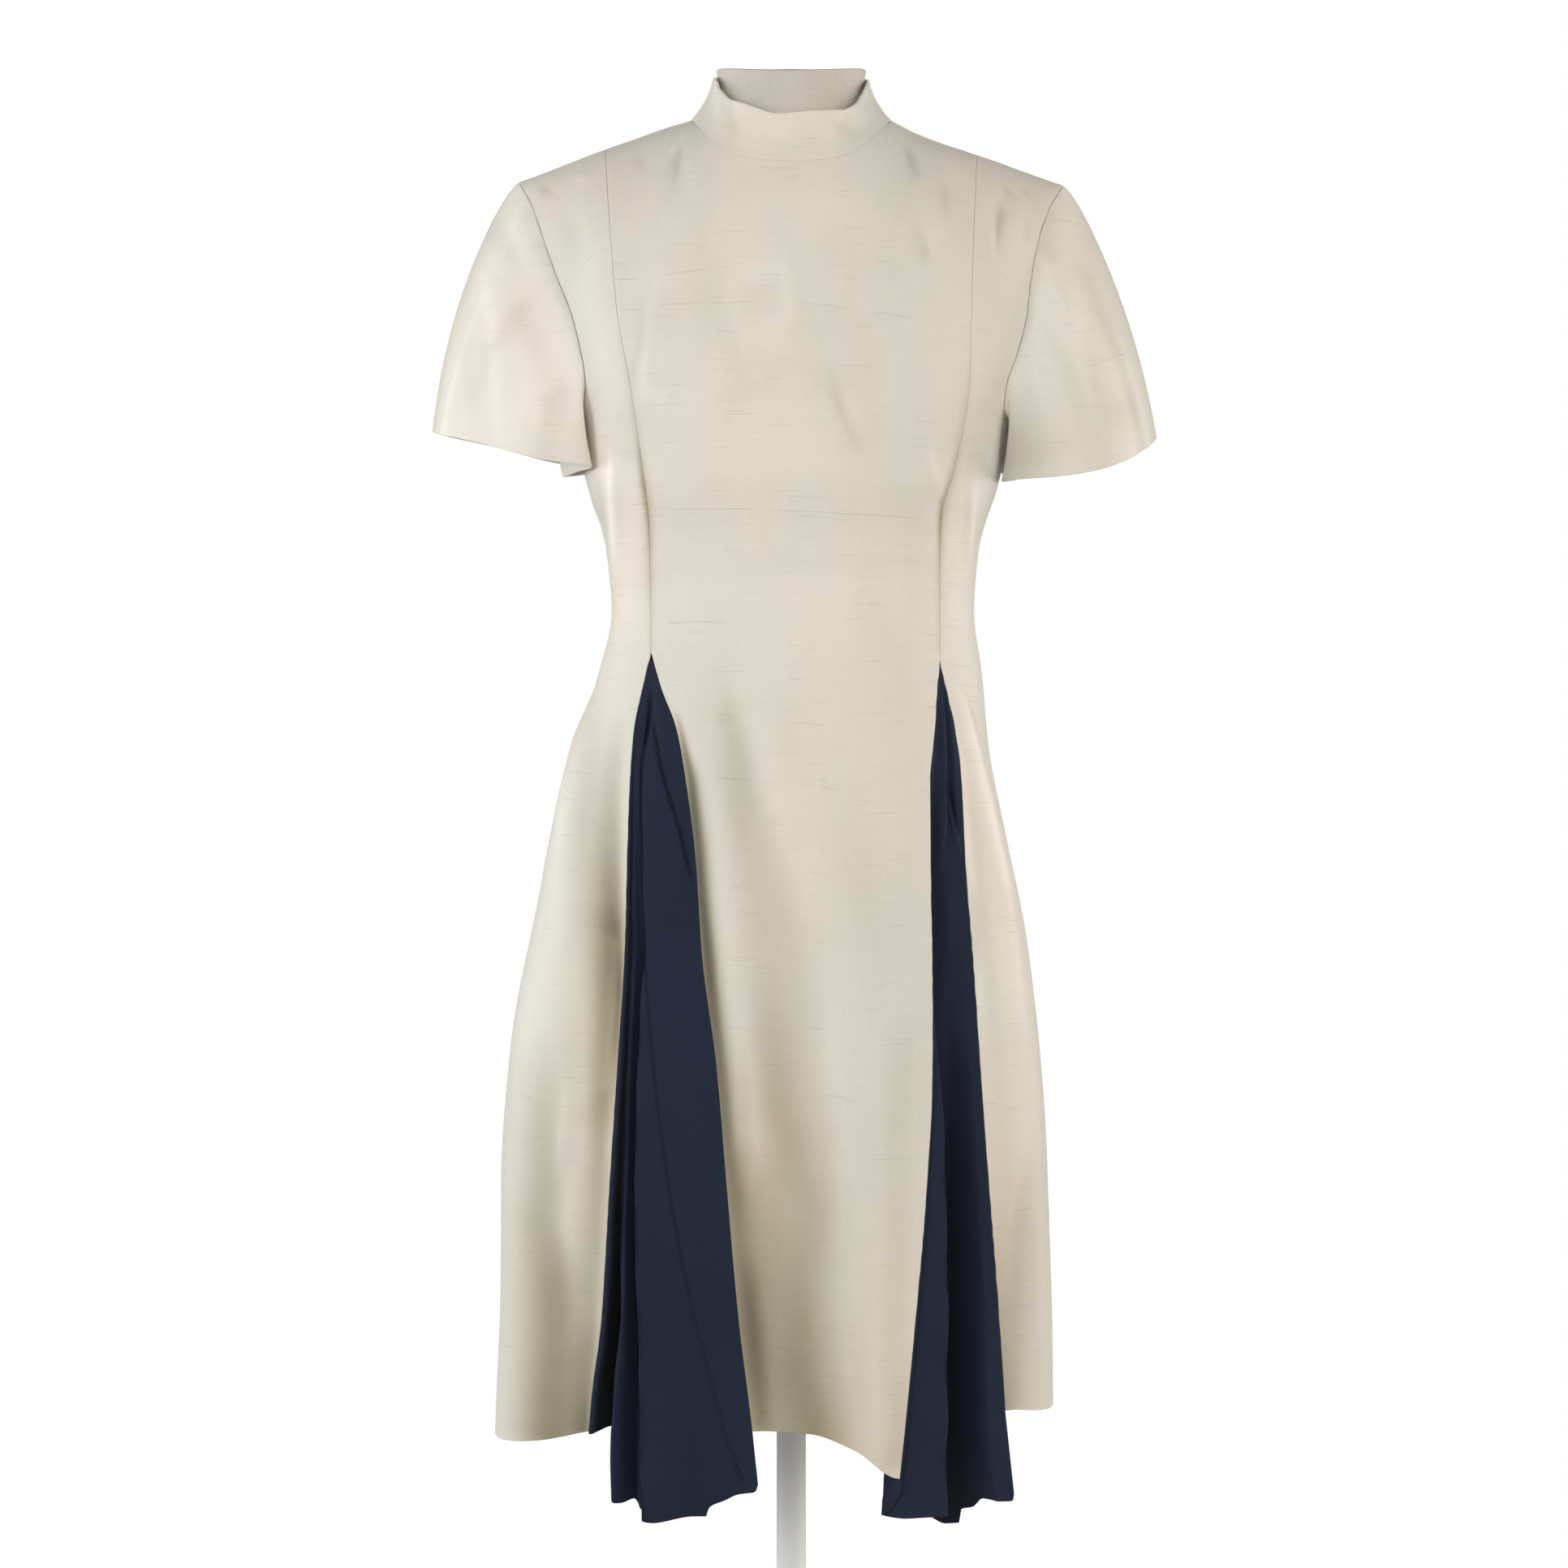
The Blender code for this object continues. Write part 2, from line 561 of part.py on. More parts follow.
# ---- Collar, sleeves and godets ---------------------------------------------------------------------------
def build_collar(front, back_left, back_right):
    """The collar stands on the neckline's own points, from one side of the centre back round."""
    front_run = front[0, 2:-2]
    left_run = back_left[0, 0:6]
    right_run = back_right[0, 0:6]
    base = np.concatenate([left_run, front_run[1:-1], right_run[::-1]])
    base[:, 2] += COLLAR_GAP
    turn = np.degrees(np.arctan2(base[:, 0], -base[:, 1]))
    around = np.abs(turn)
    top = np.stack([np.sign(turn) * column(COLLAR_TOP, "x", around, "angle"),
                    column(COLLAR_TOP, "y", around, "angle"),
                    column(COLLAR_TOP, "z", around, "angle")], axis=-1)
    top[0, 0], top[-1, 0] = base[0, 0], base[-1, 0]
    run = np.linspace(0, 1, COLLAR_ROWS)[:, None, None]
    points = base + (top - base) * run
    outward = unit(np.stack([base[:, 0], base[:, 1], 0 * base[:, 0]], axis=-1))
    points = points + outward * COLLAR_BELLY * np.sin(np.pi * run)
    along = np.gradient(points, axis=1)
    along[:, 0] = along[:, -1] = (1.0, 0, 0)
    level = np.cross(along, (0.0, 0.0, 1.0))
    inward = unit(level) * np.sign(np.sum(level * -points, axis=-1, keepdims=True))
    wall("collar", points, inward, COLLAR_CLOTH, "ivory_silk")


def cuff_points(cuff, sign, runs, half):
    """Points of one half of the sleeve's hem, from the top to the underarm."""
    return np.stack([sign * column(cuff, "x", runs, "run"), half * column(cuff, "y", runs, "run"),
                     column(cuff, "z", runs, "run")], axis=-1)


def build_sleeve(side_name, side_front, back_piece):
    """Each column runs from the armhole to the cuff on a curve of second order whose middle stands
    out: by the cap's rise at the shoulder, by less at the front and back, by nothing underneath."""
    sign = -1 if side_name == "left" else 1
    cuff = LEFT_CUFF if side_name == "left" else RIGHT_CUFF
    runs = np.array(ARMHOLE_RUNS)
    rows = len(runs)
    back_runs = runs[1:-1][::-1]
    front_armhole = side_front[:rows, -1]
    back_armhole = back_piece[1:rows - 1, -1][::-1]
    start = np.concatenate([front_armhole, back_armhole])
    end = np.concatenate([cuff_points(cuff, sign, runs, -1), cuff_points(cuff, sign, back_runs, 1)])
    normal = np.concatenate([body_normal(front_armhole, -1), body_normal(back_armhole, 1)])
    all_runs = np.concatenate([runs, back_runs])
    halves = np.concatenate([-np.ones(len(runs)), np.ones(len(back_runs))])
    along = np.roll(start, -1, axis=0) - np.roll(start, 1, axis=0)
    conormal = -sign * unit(np.cross(along, normal))
    start = start + conormal * SLEEVE_GAP
    top_share = np.cos(np.pi * all_runs / 2) ** 2
    swell = np.stack([sign * SLEEVE_CAP * top_share,
                      halves * SLEEVE_BELLY * np.sin(np.pi * all_runs),
                      SLEEVE_CAP * top_share], axis=-1)
    t = np.linspace(0, 1, SLEEVE_ROWS)[:, None, None]
    ease = UNDERARM_EASE * (1 - top_share)[:, None] ** 3
    middle = (start + end) / 2 + swell + (normal + (0.0, 0.0, 1.0)) * ease
    points = (1 - t) ** 2 * start + 2 * t * (1 - t) * middle + t ** 2 * end
    inward = grid_normals(points, closed=True)
    centre = points.mean(axis=1, keepdims=True)
    inward = inward * np.sign(np.sum(inward * (centre - points), axis=-1, keepdims=True))
    inward[0] = -normal * top_share[:, None] + inward[0] * (1 - top_share[:, None])
    wall("sleeve_" + side_name, points, inward, CLOTH, "ivory_silk", closed=True)


def fold_curve(folds, z, chord_start, chord_end, inward, shares):
    """One level section of a godet: a smooth line through its folds from edge to edge."""
    names = [name[len("pos_"):] for name in folds if name.startswith("pos_")]
    strip = min(GODET_SEAM / np.linalg.norm(chord_end - chord_start), GODET_SEAM_SHARE)
    places = [float(column(folds, "pos_" + n, z)) for n in names]
    depths = [float(column(folds, "depth_" + n, z)) for n in names]
    place = np.array([0.0, strip] + places + [1 - strip, 1.0])
    depth = np.array([0.0, 0.0] + depths + [0.0, 0.0])
    knots = np.linspace(0, 1, len(place))
    at = smooth(knots, place, shares)[:, None]
    back = smooth(knots, depth, shares)[:, None]
    return chord_start + (chord_end - chord_start) * at + inward * back


def build_godet(name, first_edge, last_edge, folds, hem):
    """A godet between two edges of silk, level by level, then down past the silk's hem."""
    shares = np.linspace(0, 1, GODET_COLUMNS)
    rows = []
    for start, end in zip(first_edge, last_edge):
        across = unit(end - start)
        inset = across * SEAM_GAP
        inward = unit(np.cross(across, (0.0, 0.0, 1.0)))
        inward = inward * (1 if inward[1] > 0 else -1)
        z = (start[2] + end[2]) / 2
        rows.append(fold_curve(folds, z, start + inset, end - inset, inward, shares))
    last = rows[-1].copy()
    hem_z = smooth(hem["run"], hem["z"], shares)
    for share in (GODET_DROP, 1.0):
        row = last.copy()
        row[:, 2] += (np.minimum(hem_z, last[:, 2] - GODET_OVERHANG) - last[:, 2]) * share
        rows.append(row)
    points = np.array(rows)
    inward = -grid_normals(points, closed=False)
    for seam in (0, 1, -2, -1):
        inward[:, seam] = -body_normal(points[:, seam], -1)
    wall(name, points, inward, CREPE, "navy_crepe")


# ---- Zip -----------------------------------------------------------------------------------------------------
def build_zip_tape(back_left, back_right):
    """The tape lies inside the centre back seam, from the neck seam to the hip. Its edges are
    points of the back pieces themselves, moved in."""
    count = int(np.sum(back_right[:, 0, 2] >= ZIP_END_Z - 1e-6))
    lines = []
    for piece in (back_left, back_right):
        share = ZIP_HALF_WIDTH / np.abs(piece[:count, 1, 0])
        lines.append(piece[:count, 0] + (piece[:count, 1] - piece[:count, 0]) * share[:, None])
    middle = (back_left[:count, 0] + back_right[:count, 0]) / 2
    grid = np.stack([lines[0], middle, lines[1]], axis=1)
    inward = -unit(body_normal(grid, 1) * (0, 1, 1))
    grid = grid + inward * (CLOTH + 2 * SEAM_GAP)
    wall("zip_tape", grid[1:], inward[1:], ZIP_TAPE, "zip_tape")


def slider_frame():
    """Place and directions of the slider: across, down the cloth and off the cloth."""
    here = on_body(np.array(CENTRE_OFFSET), np.array(SLIDER_Z), 1)
    off = unit(body_normal(here, 1) * (0, 1, 1))
    across = np.array((1.0, 0.0, 0.0))
    down = np.cross(off, across)
    down = down * (-1 if down[2] > 0 else 1)
    return here, across, down, off


def placed(outline, frame, lift):
    """Points given as across, down and off the cloth, put in their place."""
    here, across, down, off = frame
    outline = np.asarray(outline, float)
    return here + outline[:, :1] * across + outline[:, 1:2] * down + (outline[:, 2:] + lift) * off


def prism(outline, low, high, axis):
    """Vertices and faces of an outline drawn out along one axis (0 across, 2 off the cloth)."""
    outline = [tuple(p) for p in outline]
    count = len(outline)
    vertices = []
    for level in (low, high):
        for a, b in outline:
            vertices.append((level, a, b) if axis == 0 else (a, b, level))
    faces = [tuple(range(count)), tuple(range(2 * count - 1, count - 1, -1))]
    for i in range(count):
        j = (i + 1) % count
        faces.append((i, i + count, j + count, j))
    return vertices, faces


def both_sides(rows):
    """A closed outline from its half: down the right side and up the left."""
    right = list(zip(rows["half"], rows["down"]))
    return right + [(-half, down) for half, down in right[::-1]]


def as_cutter(thing):
    thing.hide_render = True
    thing.display_type = "WIRE"


def build_slider(frame):
    """A shield-shaped body with a bridge along it, joined to it as one solid."""
    vertices, faces = prism(both_sides(SLIDER_OUTLINE), 0.0, SLIDER_HEIGHT, 2)
    slider = make_object("zip_slider", placed(vertices, frame, 2 * SEAM_GAP), faces, "zip_metal")
    foot, corner, under = BRIDGE_REACH, BRIDGE_CORNER, SLIDER_HEIGHT + BRIDGE_GAP
    sunk, top = SLIDER_HEIGHT - BRIDGE_SUNK, under + BRIDGE_BAR
    arch = [(-foot, sunk), (-foot + BRIDGE_BAR, sunk), (-foot + BRIDGE_BAR, under),
            (foot - BRIDGE_BAR, under), (foot - BRIDGE_BAR, sunk), (foot, sunk),
            (foot, top - corner), (foot - corner, top), (-foot + corner, top), (-foot, top - corner)]
    vertices, faces = prism(arch, -BRIDGE_WIDTH / 2, BRIDGE_WIDTH / 2, 0)
    bridge = make_object("bridge_shape", placed(vertices, frame, 2 * SEAM_GAP), faces, "zip_metal")
    as_cutter(bridge)
    join = slider.modifiers.new("bridge", "BOOLEAN")
    join.operation = "UNION"
    join.object = bridge


def build_pull(frame):
    """A drop-shaped tab with a window; its bar lies under the bridge, on the hinge's axis."""
    here, across, down, off = frame
    pivot = here + off * (2 * SEAM_GAP + SLIDER_HEIGHT + BRIDGE_GAP / 2)
    vertices, faces = prism(both_sides(PULL_OUTLINE), -PULL_BAR / 2, PULL_BAR / 2, 2)
    tab_points = placed(vertices, (np.zeros(3), across, down, off), 0.0)
    tab = make_object("zip_pull", tab_points, faces, "zip_metal")
    tab.location = Vector(pivot)
    vertices, faces = prism(both_sides(WINDOW_OUTLINE), -PULL_BAR, PULL_BAR, 2)
    cutter_points = placed(vertices, (pivot, across, down, off), 0.0)
    cutter = make_object("pull_window", cutter_points, faces, "zip_metal")
    as_cutter(cutter)
    cut = tab.modifiers.new("window", "BOOLEAN")
    cut.operation = "DIFFERENCE"
    cut.object = cutter


# ---- Form and stand ---------------------------------------------------------------------------------------------
def form_ring(row):
    """A ring of the form. Its height turns from the front's to the side's to the back's."""
    z_front, z_side, z_back, half, front, back, square = row
    turn = np.linspace(0, 2 * np.pi, FORM_COLUMNS, endpoint=False)
    power = 2 / square
    x = half * np.sign(np.sin(turn)) * np.abs(np.sin(turn)) ** power
    ahead = np.sign(np.cos(turn)) * np.abs(np.cos(turn)) ** power
    y = -np.where(ahead > 0, front, back) * ahead
    end = np.where(ahead > 0, z_front, z_back)
    z = z_side + (end - z_side) * np.abs(np.cos(turn)) ** FORM_TILT_POWER
    return np.stack([x, y, z], axis=-1)


def circle(radius, z, sides):
    turn = np.linspace(0, 2 * np.pi, sides, endpoint=False)
    return np.stack([radius * np.sin(turn), -radius * np.cos(turn), z + 0 * turn], axis=-1)


def turned(name, rings, material, smooth_degrees=40):
    """A closed solid through rings of equal counts, with its first and last ring filled."""
    count = len(rings[0])
    vertices = np.concatenate(rings)
    faces = [tuple(range(count)), tuple(range(len(vertices) - count, len(vertices)))]
    for r in range(len(rings) - 1):
        for c in range(count):
            a, b = r * count + c, r * count + (c + 1) % count
            faces.append((a, b, b + count, a + count))
    return make_object(name, vertices, faces, material, smooth_degrees)


def build_form():
    rows = np.stack([FORM_RINGS[name] for name in FORM_RINGS], axis=-1)
    rings = [form_ring(row) for row in rows]
    rim = rings[0].copy()
    centre = rim.mean(axis=0)
    cap = centre + (rim - centre) * (1 - NECK_CAP_INSET / rows[0][3])
    rings[0] = rim - (0, 0, NECK_CAP_INSET / 2)
    socket = POLE_RADIUS + FIT_GAP
    bottom = rows[-1][0]
    rings += [circle(socket, bottom, FORM_COLUMNS), circle(socket, POLE_SOCKET_TOP + FIT_GAP, FORM_COLUMNS)]
    turned("form_torso", [cap] + rings, "form_cover")


def build_stand():
    base = [circle(BASE_RADIUS - EDGE_ROUND / 2, 0, BASE_SIDES),
            circle(BASE_RADIUS, EDGE_ROUND, BASE_SIDES),
            circle(BASE_RADIUS, BASE_HEIGHT - EDGE_ROUND, BASE_SIDES),
            circle(BASE_RADIUS - EDGE_ROUND, BASE_HEIGHT, BASE_SIDES),
            circle(BOSS_RADIUS, BASE_HEIGHT, BASE_SIDES),
            circle(BOSS_RADIUS, BOSS_HEIGHT - EDGE_ROUND, BASE_SIDES),
            circle(BOSS_RADIUS - EDGE_ROUND, BOSS_HEIGHT, BASE_SIDES),
            circle(POLE_RADIUS + FIT_GAP, BOSS_HEIGHT, BASE_SIDES),
            circle(POLE_RADIUS + FIT_GAP, BASE_HEIGHT - FIT_GAP, BASE_SIDES)]
    turned("stand_base", base, "stand_paint")
    pole = [circle(POLE_RADIUS, BASE_HEIGHT, POLE_SIDES), circle(POLE_RADIUS, POLE_SOCKET_TOP, POLE_SIDES)]
    turned("stand_pole", pole, "stand_paint")


# ---- The whole part -----------------------------------------------------------------------------------------------
def clear_scene():
    for thing in list(bpy.data.objects):
        bpy.data.objects.remove(thing, do_unlink=True)


def make_materials():
    for name, (colour, roughness, metallic) in COLOURS.items():
        material = bpy.data.materials.new(name)
        material.use_nodes = True
        shader = material.node_tree.nodes["Principled BSDF"]
        shader.inputs["Base Color"].default_value = (*colour, 1.0)
        shader.inputs["Roughness"].default_value = roughness
        shader.inputs["Metallic"].default_value = metallic
        material.diffuse_color = (*colour, 1.0)


def main():
    clear_scene()
    make_materials()
    front = build_front()
    left = build_side_front("left")
    right = build_side_front("right")
    back_left = build_back("left")
    back_right = build_back("right")
    build_collar(front, back_left, back_right)
    build_sleeve("left", left, back_left)
    build_sleeve("right", right, back_right)
    below = len(TOP_FRACTIONS) + 1 + LEVELS.index(APEX_LEVEL) + 1
    build_godet("godet_left", left[below:, 0], front[below:, 0], LEFT_FOLDS, LEFT_GODET_HEM)
    build_godet("godet_right", front[below:, -1], right[below:, 0], RIGHT_FOLDS, RIGHT_GODET_HEM)
    build_zip_tape(back_left, back_right)
    frame = slider_frame()
    build_slider(frame)
    build_pull(frame)
    build_form()
    build_stand()


main()
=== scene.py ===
# %% [markdown]
# # An a-line dress on a dress form
#
# A knee-length dress in ivory slub silk: a stand collar, short set-in sleeves, a long seam from each
# shoulder to the waist, and a navy crepe godet let in below each of those seams. It hangs on a
# limbless dress form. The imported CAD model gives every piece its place; this script makes what the
# eye sees: cloth with folded edges and creases, a slubby weave, light and a camera.
#
# Left and right are those of a person who looks at the front of the dress, so left is -X.

import bpy
import numpy as np
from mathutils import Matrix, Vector


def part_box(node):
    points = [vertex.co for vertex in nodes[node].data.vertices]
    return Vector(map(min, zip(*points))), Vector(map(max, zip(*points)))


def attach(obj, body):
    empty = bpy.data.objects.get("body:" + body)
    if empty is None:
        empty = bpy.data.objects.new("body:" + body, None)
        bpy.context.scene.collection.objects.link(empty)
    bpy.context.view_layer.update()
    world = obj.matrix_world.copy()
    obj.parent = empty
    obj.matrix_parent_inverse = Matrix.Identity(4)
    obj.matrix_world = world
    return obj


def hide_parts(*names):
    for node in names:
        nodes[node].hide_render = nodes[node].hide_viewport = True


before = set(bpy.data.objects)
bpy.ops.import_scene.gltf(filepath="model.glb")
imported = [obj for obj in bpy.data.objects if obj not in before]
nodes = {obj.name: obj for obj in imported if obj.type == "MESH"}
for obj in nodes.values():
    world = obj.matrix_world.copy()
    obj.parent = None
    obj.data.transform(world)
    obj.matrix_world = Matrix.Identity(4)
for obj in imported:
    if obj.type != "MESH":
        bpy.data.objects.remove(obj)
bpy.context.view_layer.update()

# %% [markdown]
# ## The garment's sizes
#
# A cutter writes a garment down as measurements at a few heights, and so does this file. Each table
# has named columns and one row for each height or place. A curve that never overshoots its rows then
# gives every size between them. A free-form sculpt would be quicker to push about, but nobody could
# read a waist or a hem off it.

# %% Tables and the curve through them
def table(columns, *rows):
    """Rows of plain sizes, read back as one array for each named column."""
    return dict(zip(columns.split(), np.array(rows, float).T))


def strokes(*lines, scale=(0.001, 0.001, 0.001, 0.001)):
    """Lines drawn on the cloth, each a run of points of four numbers: a place across and down, and
    the width and the height of the line there. The scale makes metres of them, and shares of painted
    shade."""
    return [(np.reshape(line, (-1, 4)) * scale).T for line in lines]


def smooth(knots, values, at):
    """A cubic through the rows that never overshoots them: each row's slope is the harmonic mean of
    the slopes on its two sides, or 0 where they differ in sign."""
    knots, values = np.asarray(knots, float), np.asarray(values, float)
    step = np.diff(knots)
    rise = np.diff(values) / step
    slope = np.zeros(len(values))
    before, after = rise[:-1], rise[1:]
    rising = before * after > 0
    slope[1:-1][rising] = 2 * before[rising] * after[rising] / (before + after)[rising]
    slope[0], slope[-1] = rise[0], rise[-1]
    at = np.clip(at, knots[0], knots[-1])
    i = np.clip(np.searchsorted(knots, at, side="right") - 1, 0, len(step) - 1)
    t = (at - knots[i]) / step[i]
    return (values[i] * (1 + 2 * t) * (1 - t) ** 2 + values[i + 1] * t * t * (3 - 2 * t)
            + step[i] * (slope[i] * t * (1 - t) ** 2 - slope[i + 1] * t * t * (1 - t)))


def column(rows, name, at, knots="z"):
    """A named column of a table, read on its smooth curve at any place of the knots' column."""
    return smooth(rows[knots], rows[name], np.asarray(at, float))


def unit(vectors):
    """Each vector divided by its length."""
    return vectors / np.maximum(np.linalg.norm(vectors, axis=-1, keepdims=True), 1e-12)


# %% The body of the dress in level sections, and its shoulder line
BODY = table(
    "z      left   right  front  back",
    (0.360, 0.225, 0.198, 0.172, 0.170),
    (0.420, 0.224, 0.198, 0.168, 0.166),
    (0.520, 0.220, 0.197, 0.158, 0.158),
    (0.620, 0.219, 0.194, 0.148, 0.150),
    (0.710, 0.213, 0.188, 0.139, 0.142),
    (0.800, 0.197, 0.177, 0.130, 0.134),
    (0.875, 0.180, 0.162, 0.122, 0.126),
    (0.943, 0.163, 0.149, 0.113, 0.112),
    (0.998, 0.146, 0.144, 0.103, 0.094),
    (1.045, 0.136, 0.138, 0.096, 0.082),
    (1.090, 0.140, 0.1415, 0.107, 0.086),
    (1.146, 0.156, 0.158, 0.122, 0.096),
    (1.185, 0.163, 0.165, 0.122, 0.102),
    (1.230, 0.184, 0.184, 0.113, 0.108),
    (1.280, 0.198, 0.198, 0.098, 0.108),
    (1.340, 0.212, 0.212, 0.078, 0.098),
    (1.380, 0.215, 0.215, 0.068, 0.092),
    (1.450, 0.215, 0.215, 0.060, 0.090))
SHOULDER = table(
    "x      left    right",
    (0.000, 1.4370, 1.4370),
    (0.040, 1.4320, 1.4320),
    (0.076, 1.4165, 1.4165),
    (0.094, 1.4110, 1.4075),
    (0.116, 1.4035, 1.3985),
    (0.135, 1.3970, 1.3925),
    (0.157, 1.3885, 1.3850),
    (0.181, 1.3795, 1.3765),
    (0.206, 1.3705, 1.3680),
    (0.240, 1.3620, 1.3600))
print("waist", round(float(column(BODY, "left", 1.045) + column(BODY, "right", 1.045)), 3), "m wide")
SQUARENESS = 2.4         # how square a section is; 2 is an ellipse
FRONT_ROLL = 0.090       # how far below the shoulder line the cloth has rolled over to the front
BACK_ROLL = 0.050

# %% Seams, necklines and hems
SIGN = {"left": -1, "right": 1}
NECK_HALF_WIDTH = 0.076
NECK_BACK_Z = 1.4240
UNDERARM_Z = 1.185
APEX_Z = 1.012           # where both godets begin
HEM_START_Z = 0.530      # below this a row of the cloth turns from level to the hem's line
PRINCESS = table(
    "z      left    right",
    (1.012, -0.104, 0.110),
    (1.075, -0.104, 0.109),
    (1.110, -0.105, 0.110),
    (1.150, -0.110, 0.121),
    (1.210, -0.119, 0.131),
    (1.265, -0.129, 0.133),
    (1.320, -0.134, 0.135),
    (1.392, -0.140, 0.140))
LEFT_GODET_EDGES = table(
    "z      side    front",
    (0.420, -0.153, -0.025),
    (0.475, -0.1475, -0.032),
    (0.530, -0.1385, -0.039),
    (0.620, -0.133, -0.047),
    (0.710, -0.128, -0.055),
    (0.790, -0.123, -0.066),
    (0.860, -0.121, -0.071),
    (0.915, -0.119, -0.078),
    (0.955, -0.116, -0.085),
    (0.985, -0.110, -0.096),
    (1.012, -0.104, -0.104))
RIGHT_GODET_EDGES = table(
    "z      front  side",
    (0.415, 0.078, 0.158),
    (0.530, 0.090, 0.151),
    (0.620, 0.098, 0.144),
    (0.710, 0.103, 0.138),
    (0.790, 0.103, 0.133),
    (0.860, 0.102, 0.128),
    (0.915, 0.102, 0.126),
    (0.955, 0.106, 0.121),
    (0.985, 0.108, 0.1145),
    (1.007, 0.110, 0.110),
    (1.012, 0.110, 0.110))
FRONT_HEM = table(
    "x z",
    (-0.224, 0.426), (-0.19, 0.434), (-0.146, 0.446), (-0.031, 0.45), (0.014, 0.448), (0.045, 0.437),
    (0.078, 0.416), (0.1, 0.44), (0.156, 0.458), (0.198, 0.448))
BACK_HEM = table(
    "x z",
    (-0.224, 0.426), (0, 0.44), (0.198, 0.448))
FRONT_NECKLINE = table(
    "x z",
    (0, 1.3768), (0.02, 1.3776), (0.038, 1.3812), (0.051, 1.3885), (0.06, 1.3955), (0.066, 1.4025),
    (0.072, 1.4105), (0.076, 1.4165))
HEM_X = {
    "left": {"front": -0.029, "godet": -0.150, "side": -0.224},
    "right": {"front": 0.078, "godet": 0.156, "side": 0.198}}
print("front", round(FRONT_NECKLINE["z"][0] - FRONT_HEM["z"].min(), 3), "m long from the neckline to the hem")

# %% Armholes, sleeve hems and the collar's top edge
ARMHOLE = table(
    "run   z      left   right",
    (0.00, 1.368, 0.206, 0.206),
    (0.12, 1.345, 0.194, 0.193),
    (0.26, 1.314, 0.183, 0.183),
    (0.38, 1.287, 0.173, 0.178),
    (0.50, 1.262, 0.163, 0.175),
    (0.62, 1.235, 0.156, 0.168),
    (0.74, 1.212, 0.152, 0.160),
    (0.86, 1.195, 0.154, 0.158),
    (1.00, 1.185, 0.163, 0.165))
ARMHOLE_ROWS = table(
    "fraction run",
    (0, 0), (0.012, 0.02), (0.05, 0.07), (0.12, 0.15), (0.24, 0.3), (0.42, 0.5), (0.68, 0.76), (1, 1))
LEFT_CUFF = table(
    "run   x      y      z",
    (0.00, 0.272, 0.000, 1.181),
    (0.15, 0.263, 0.034, 1.178),
    (0.35, 0.229, 0.062, 1.170),
    (0.55, 0.184, 0.071, 1.1580),
    (0.72, 0.1475, 0.0605, 1.1525),
    (0.86, 0.158, 0.040, 1.1500),
    (1.00, 0.171, 0.000, 1.1475))
RIGHT_CUFF = table(
    "run   x      y      z",
    (0.00, 0.277, 0.000, 1.176),
    (0.15, 0.266, 0.036, 1.165),
    (0.35, 0.233, 0.064, 1.149),
    (0.55, 0.191, 0.064, 1.1420),
    (0.72, 0.157, 0.038, 1.1410),
    (0.86, 0.163, 0.019, 1.1430),
    (1.00, 0.168, 0.000, 1.1450))
COLLAR_TOP = table(
    "angle  x      y       left    right",
    (0.0,   0.000, -0.059, 1.4137, 1.4137),
    (12.0,  0.012, -0.0585, 1.4132, 1.4150),
    (25.0,  0.027, -0.056, 1.4180, 1.4160),
    (40.0,  0.039, -0.050, 1.4230, 1.4172),
    (50.0,  0.047, -0.043, 1.4262, 1.4220),
    (62.0,  0.0538, -0.030, 1.4370, 1.4320),
    (75.0,  0.0578, -0.017, 1.4460, 1.4420),
    (100.0, 0.0594,  0.006, 1.4510, 1.4490),
    (140.0, 0.044,  0.042, 1.4560, 1.4560),
    (180.0, 0.000,  0.051, 1.4580, 1.4580))
SLEEVE_CAP = {"left": 0.0200, "right": 0.0165}
SLEEVE_BELLY = 0.006
UNDERARM_EASE = 0.012
COLLAR_BELLY = -0.0030
SEAM_GAP = 0.0001        # between the edges of two pieces, which the stitches draw together
SLEEVE_GAP = 0.0003
COLLAR_GAP = 0.00003
print("armhole", round(ARMHOLE["z"][0] - UNDERARM_Z, 3), "m deep")

# %% [markdown]
# ## The surface of the dress
#
# All body pieces are parts of one surface. At each height a section is a squarish oval, and at the
# shoulder line the cloth rolls over as a quarter circle. Cutting the pieces out of one formula keeps
# the seams together, which pushing separate meshes against each other would not.

# %% The surface as a formula of x and z
def half_width(x, z):
    """From the middle to the side seam, on the side that x lies on."""
    return np.where(x < 0, column(BODY, "left", z), column(BODY, "right", z))


def shoulder_z(x):
    """Height of the shoulder line at x, from the table of the side that x lies on."""
    return np.where(np.asarray(x) < 0, column(SHOULDER, "left", np.abs(x), "x"),
                    column(SHOULDER, "right", np.abs(x), "x"))


def middle_depth(z, side):
    """How far the middle lies in front (side -1) or behind (side 1)."""
    return column(BODY, "front" if side < 0 else "back", z)


def fullness(x, z, side):
    """The square of the depth at x as a share of the depth in the middle: 1 - |x / half width|^2.4,
    to the power 2/2.4, times the quarter circle 1 - (1 - drop)^2 of the drop below the shoulder."""
    across = 1 - (np.abs(x) / half_width(x, z)) ** SQUARENESS
    across = np.sign(across) * np.abs(across) ** (2 / SQUARENESS)
    drop = np.minimum((shoulder_z(x) - z) / (FRONT_ROLL if side < 0 else BACK_ROLL), 1)
    return across * (1 - (1 - drop) ** 2)


def on_body(x, z, side):
    """The dress's outside at x and z: y is the middle's depth times the root of the fullness."""
    y = side * middle_depth(z, side) * np.sqrt(np.clip(fullness(x, z, side), 0, 1))
    return np.stack([x, y, z], axis=-1)


# %% Normals, angles and border lines of the surface
NORMAL_STEP = 0.0005     # half the span over which a slope is measured


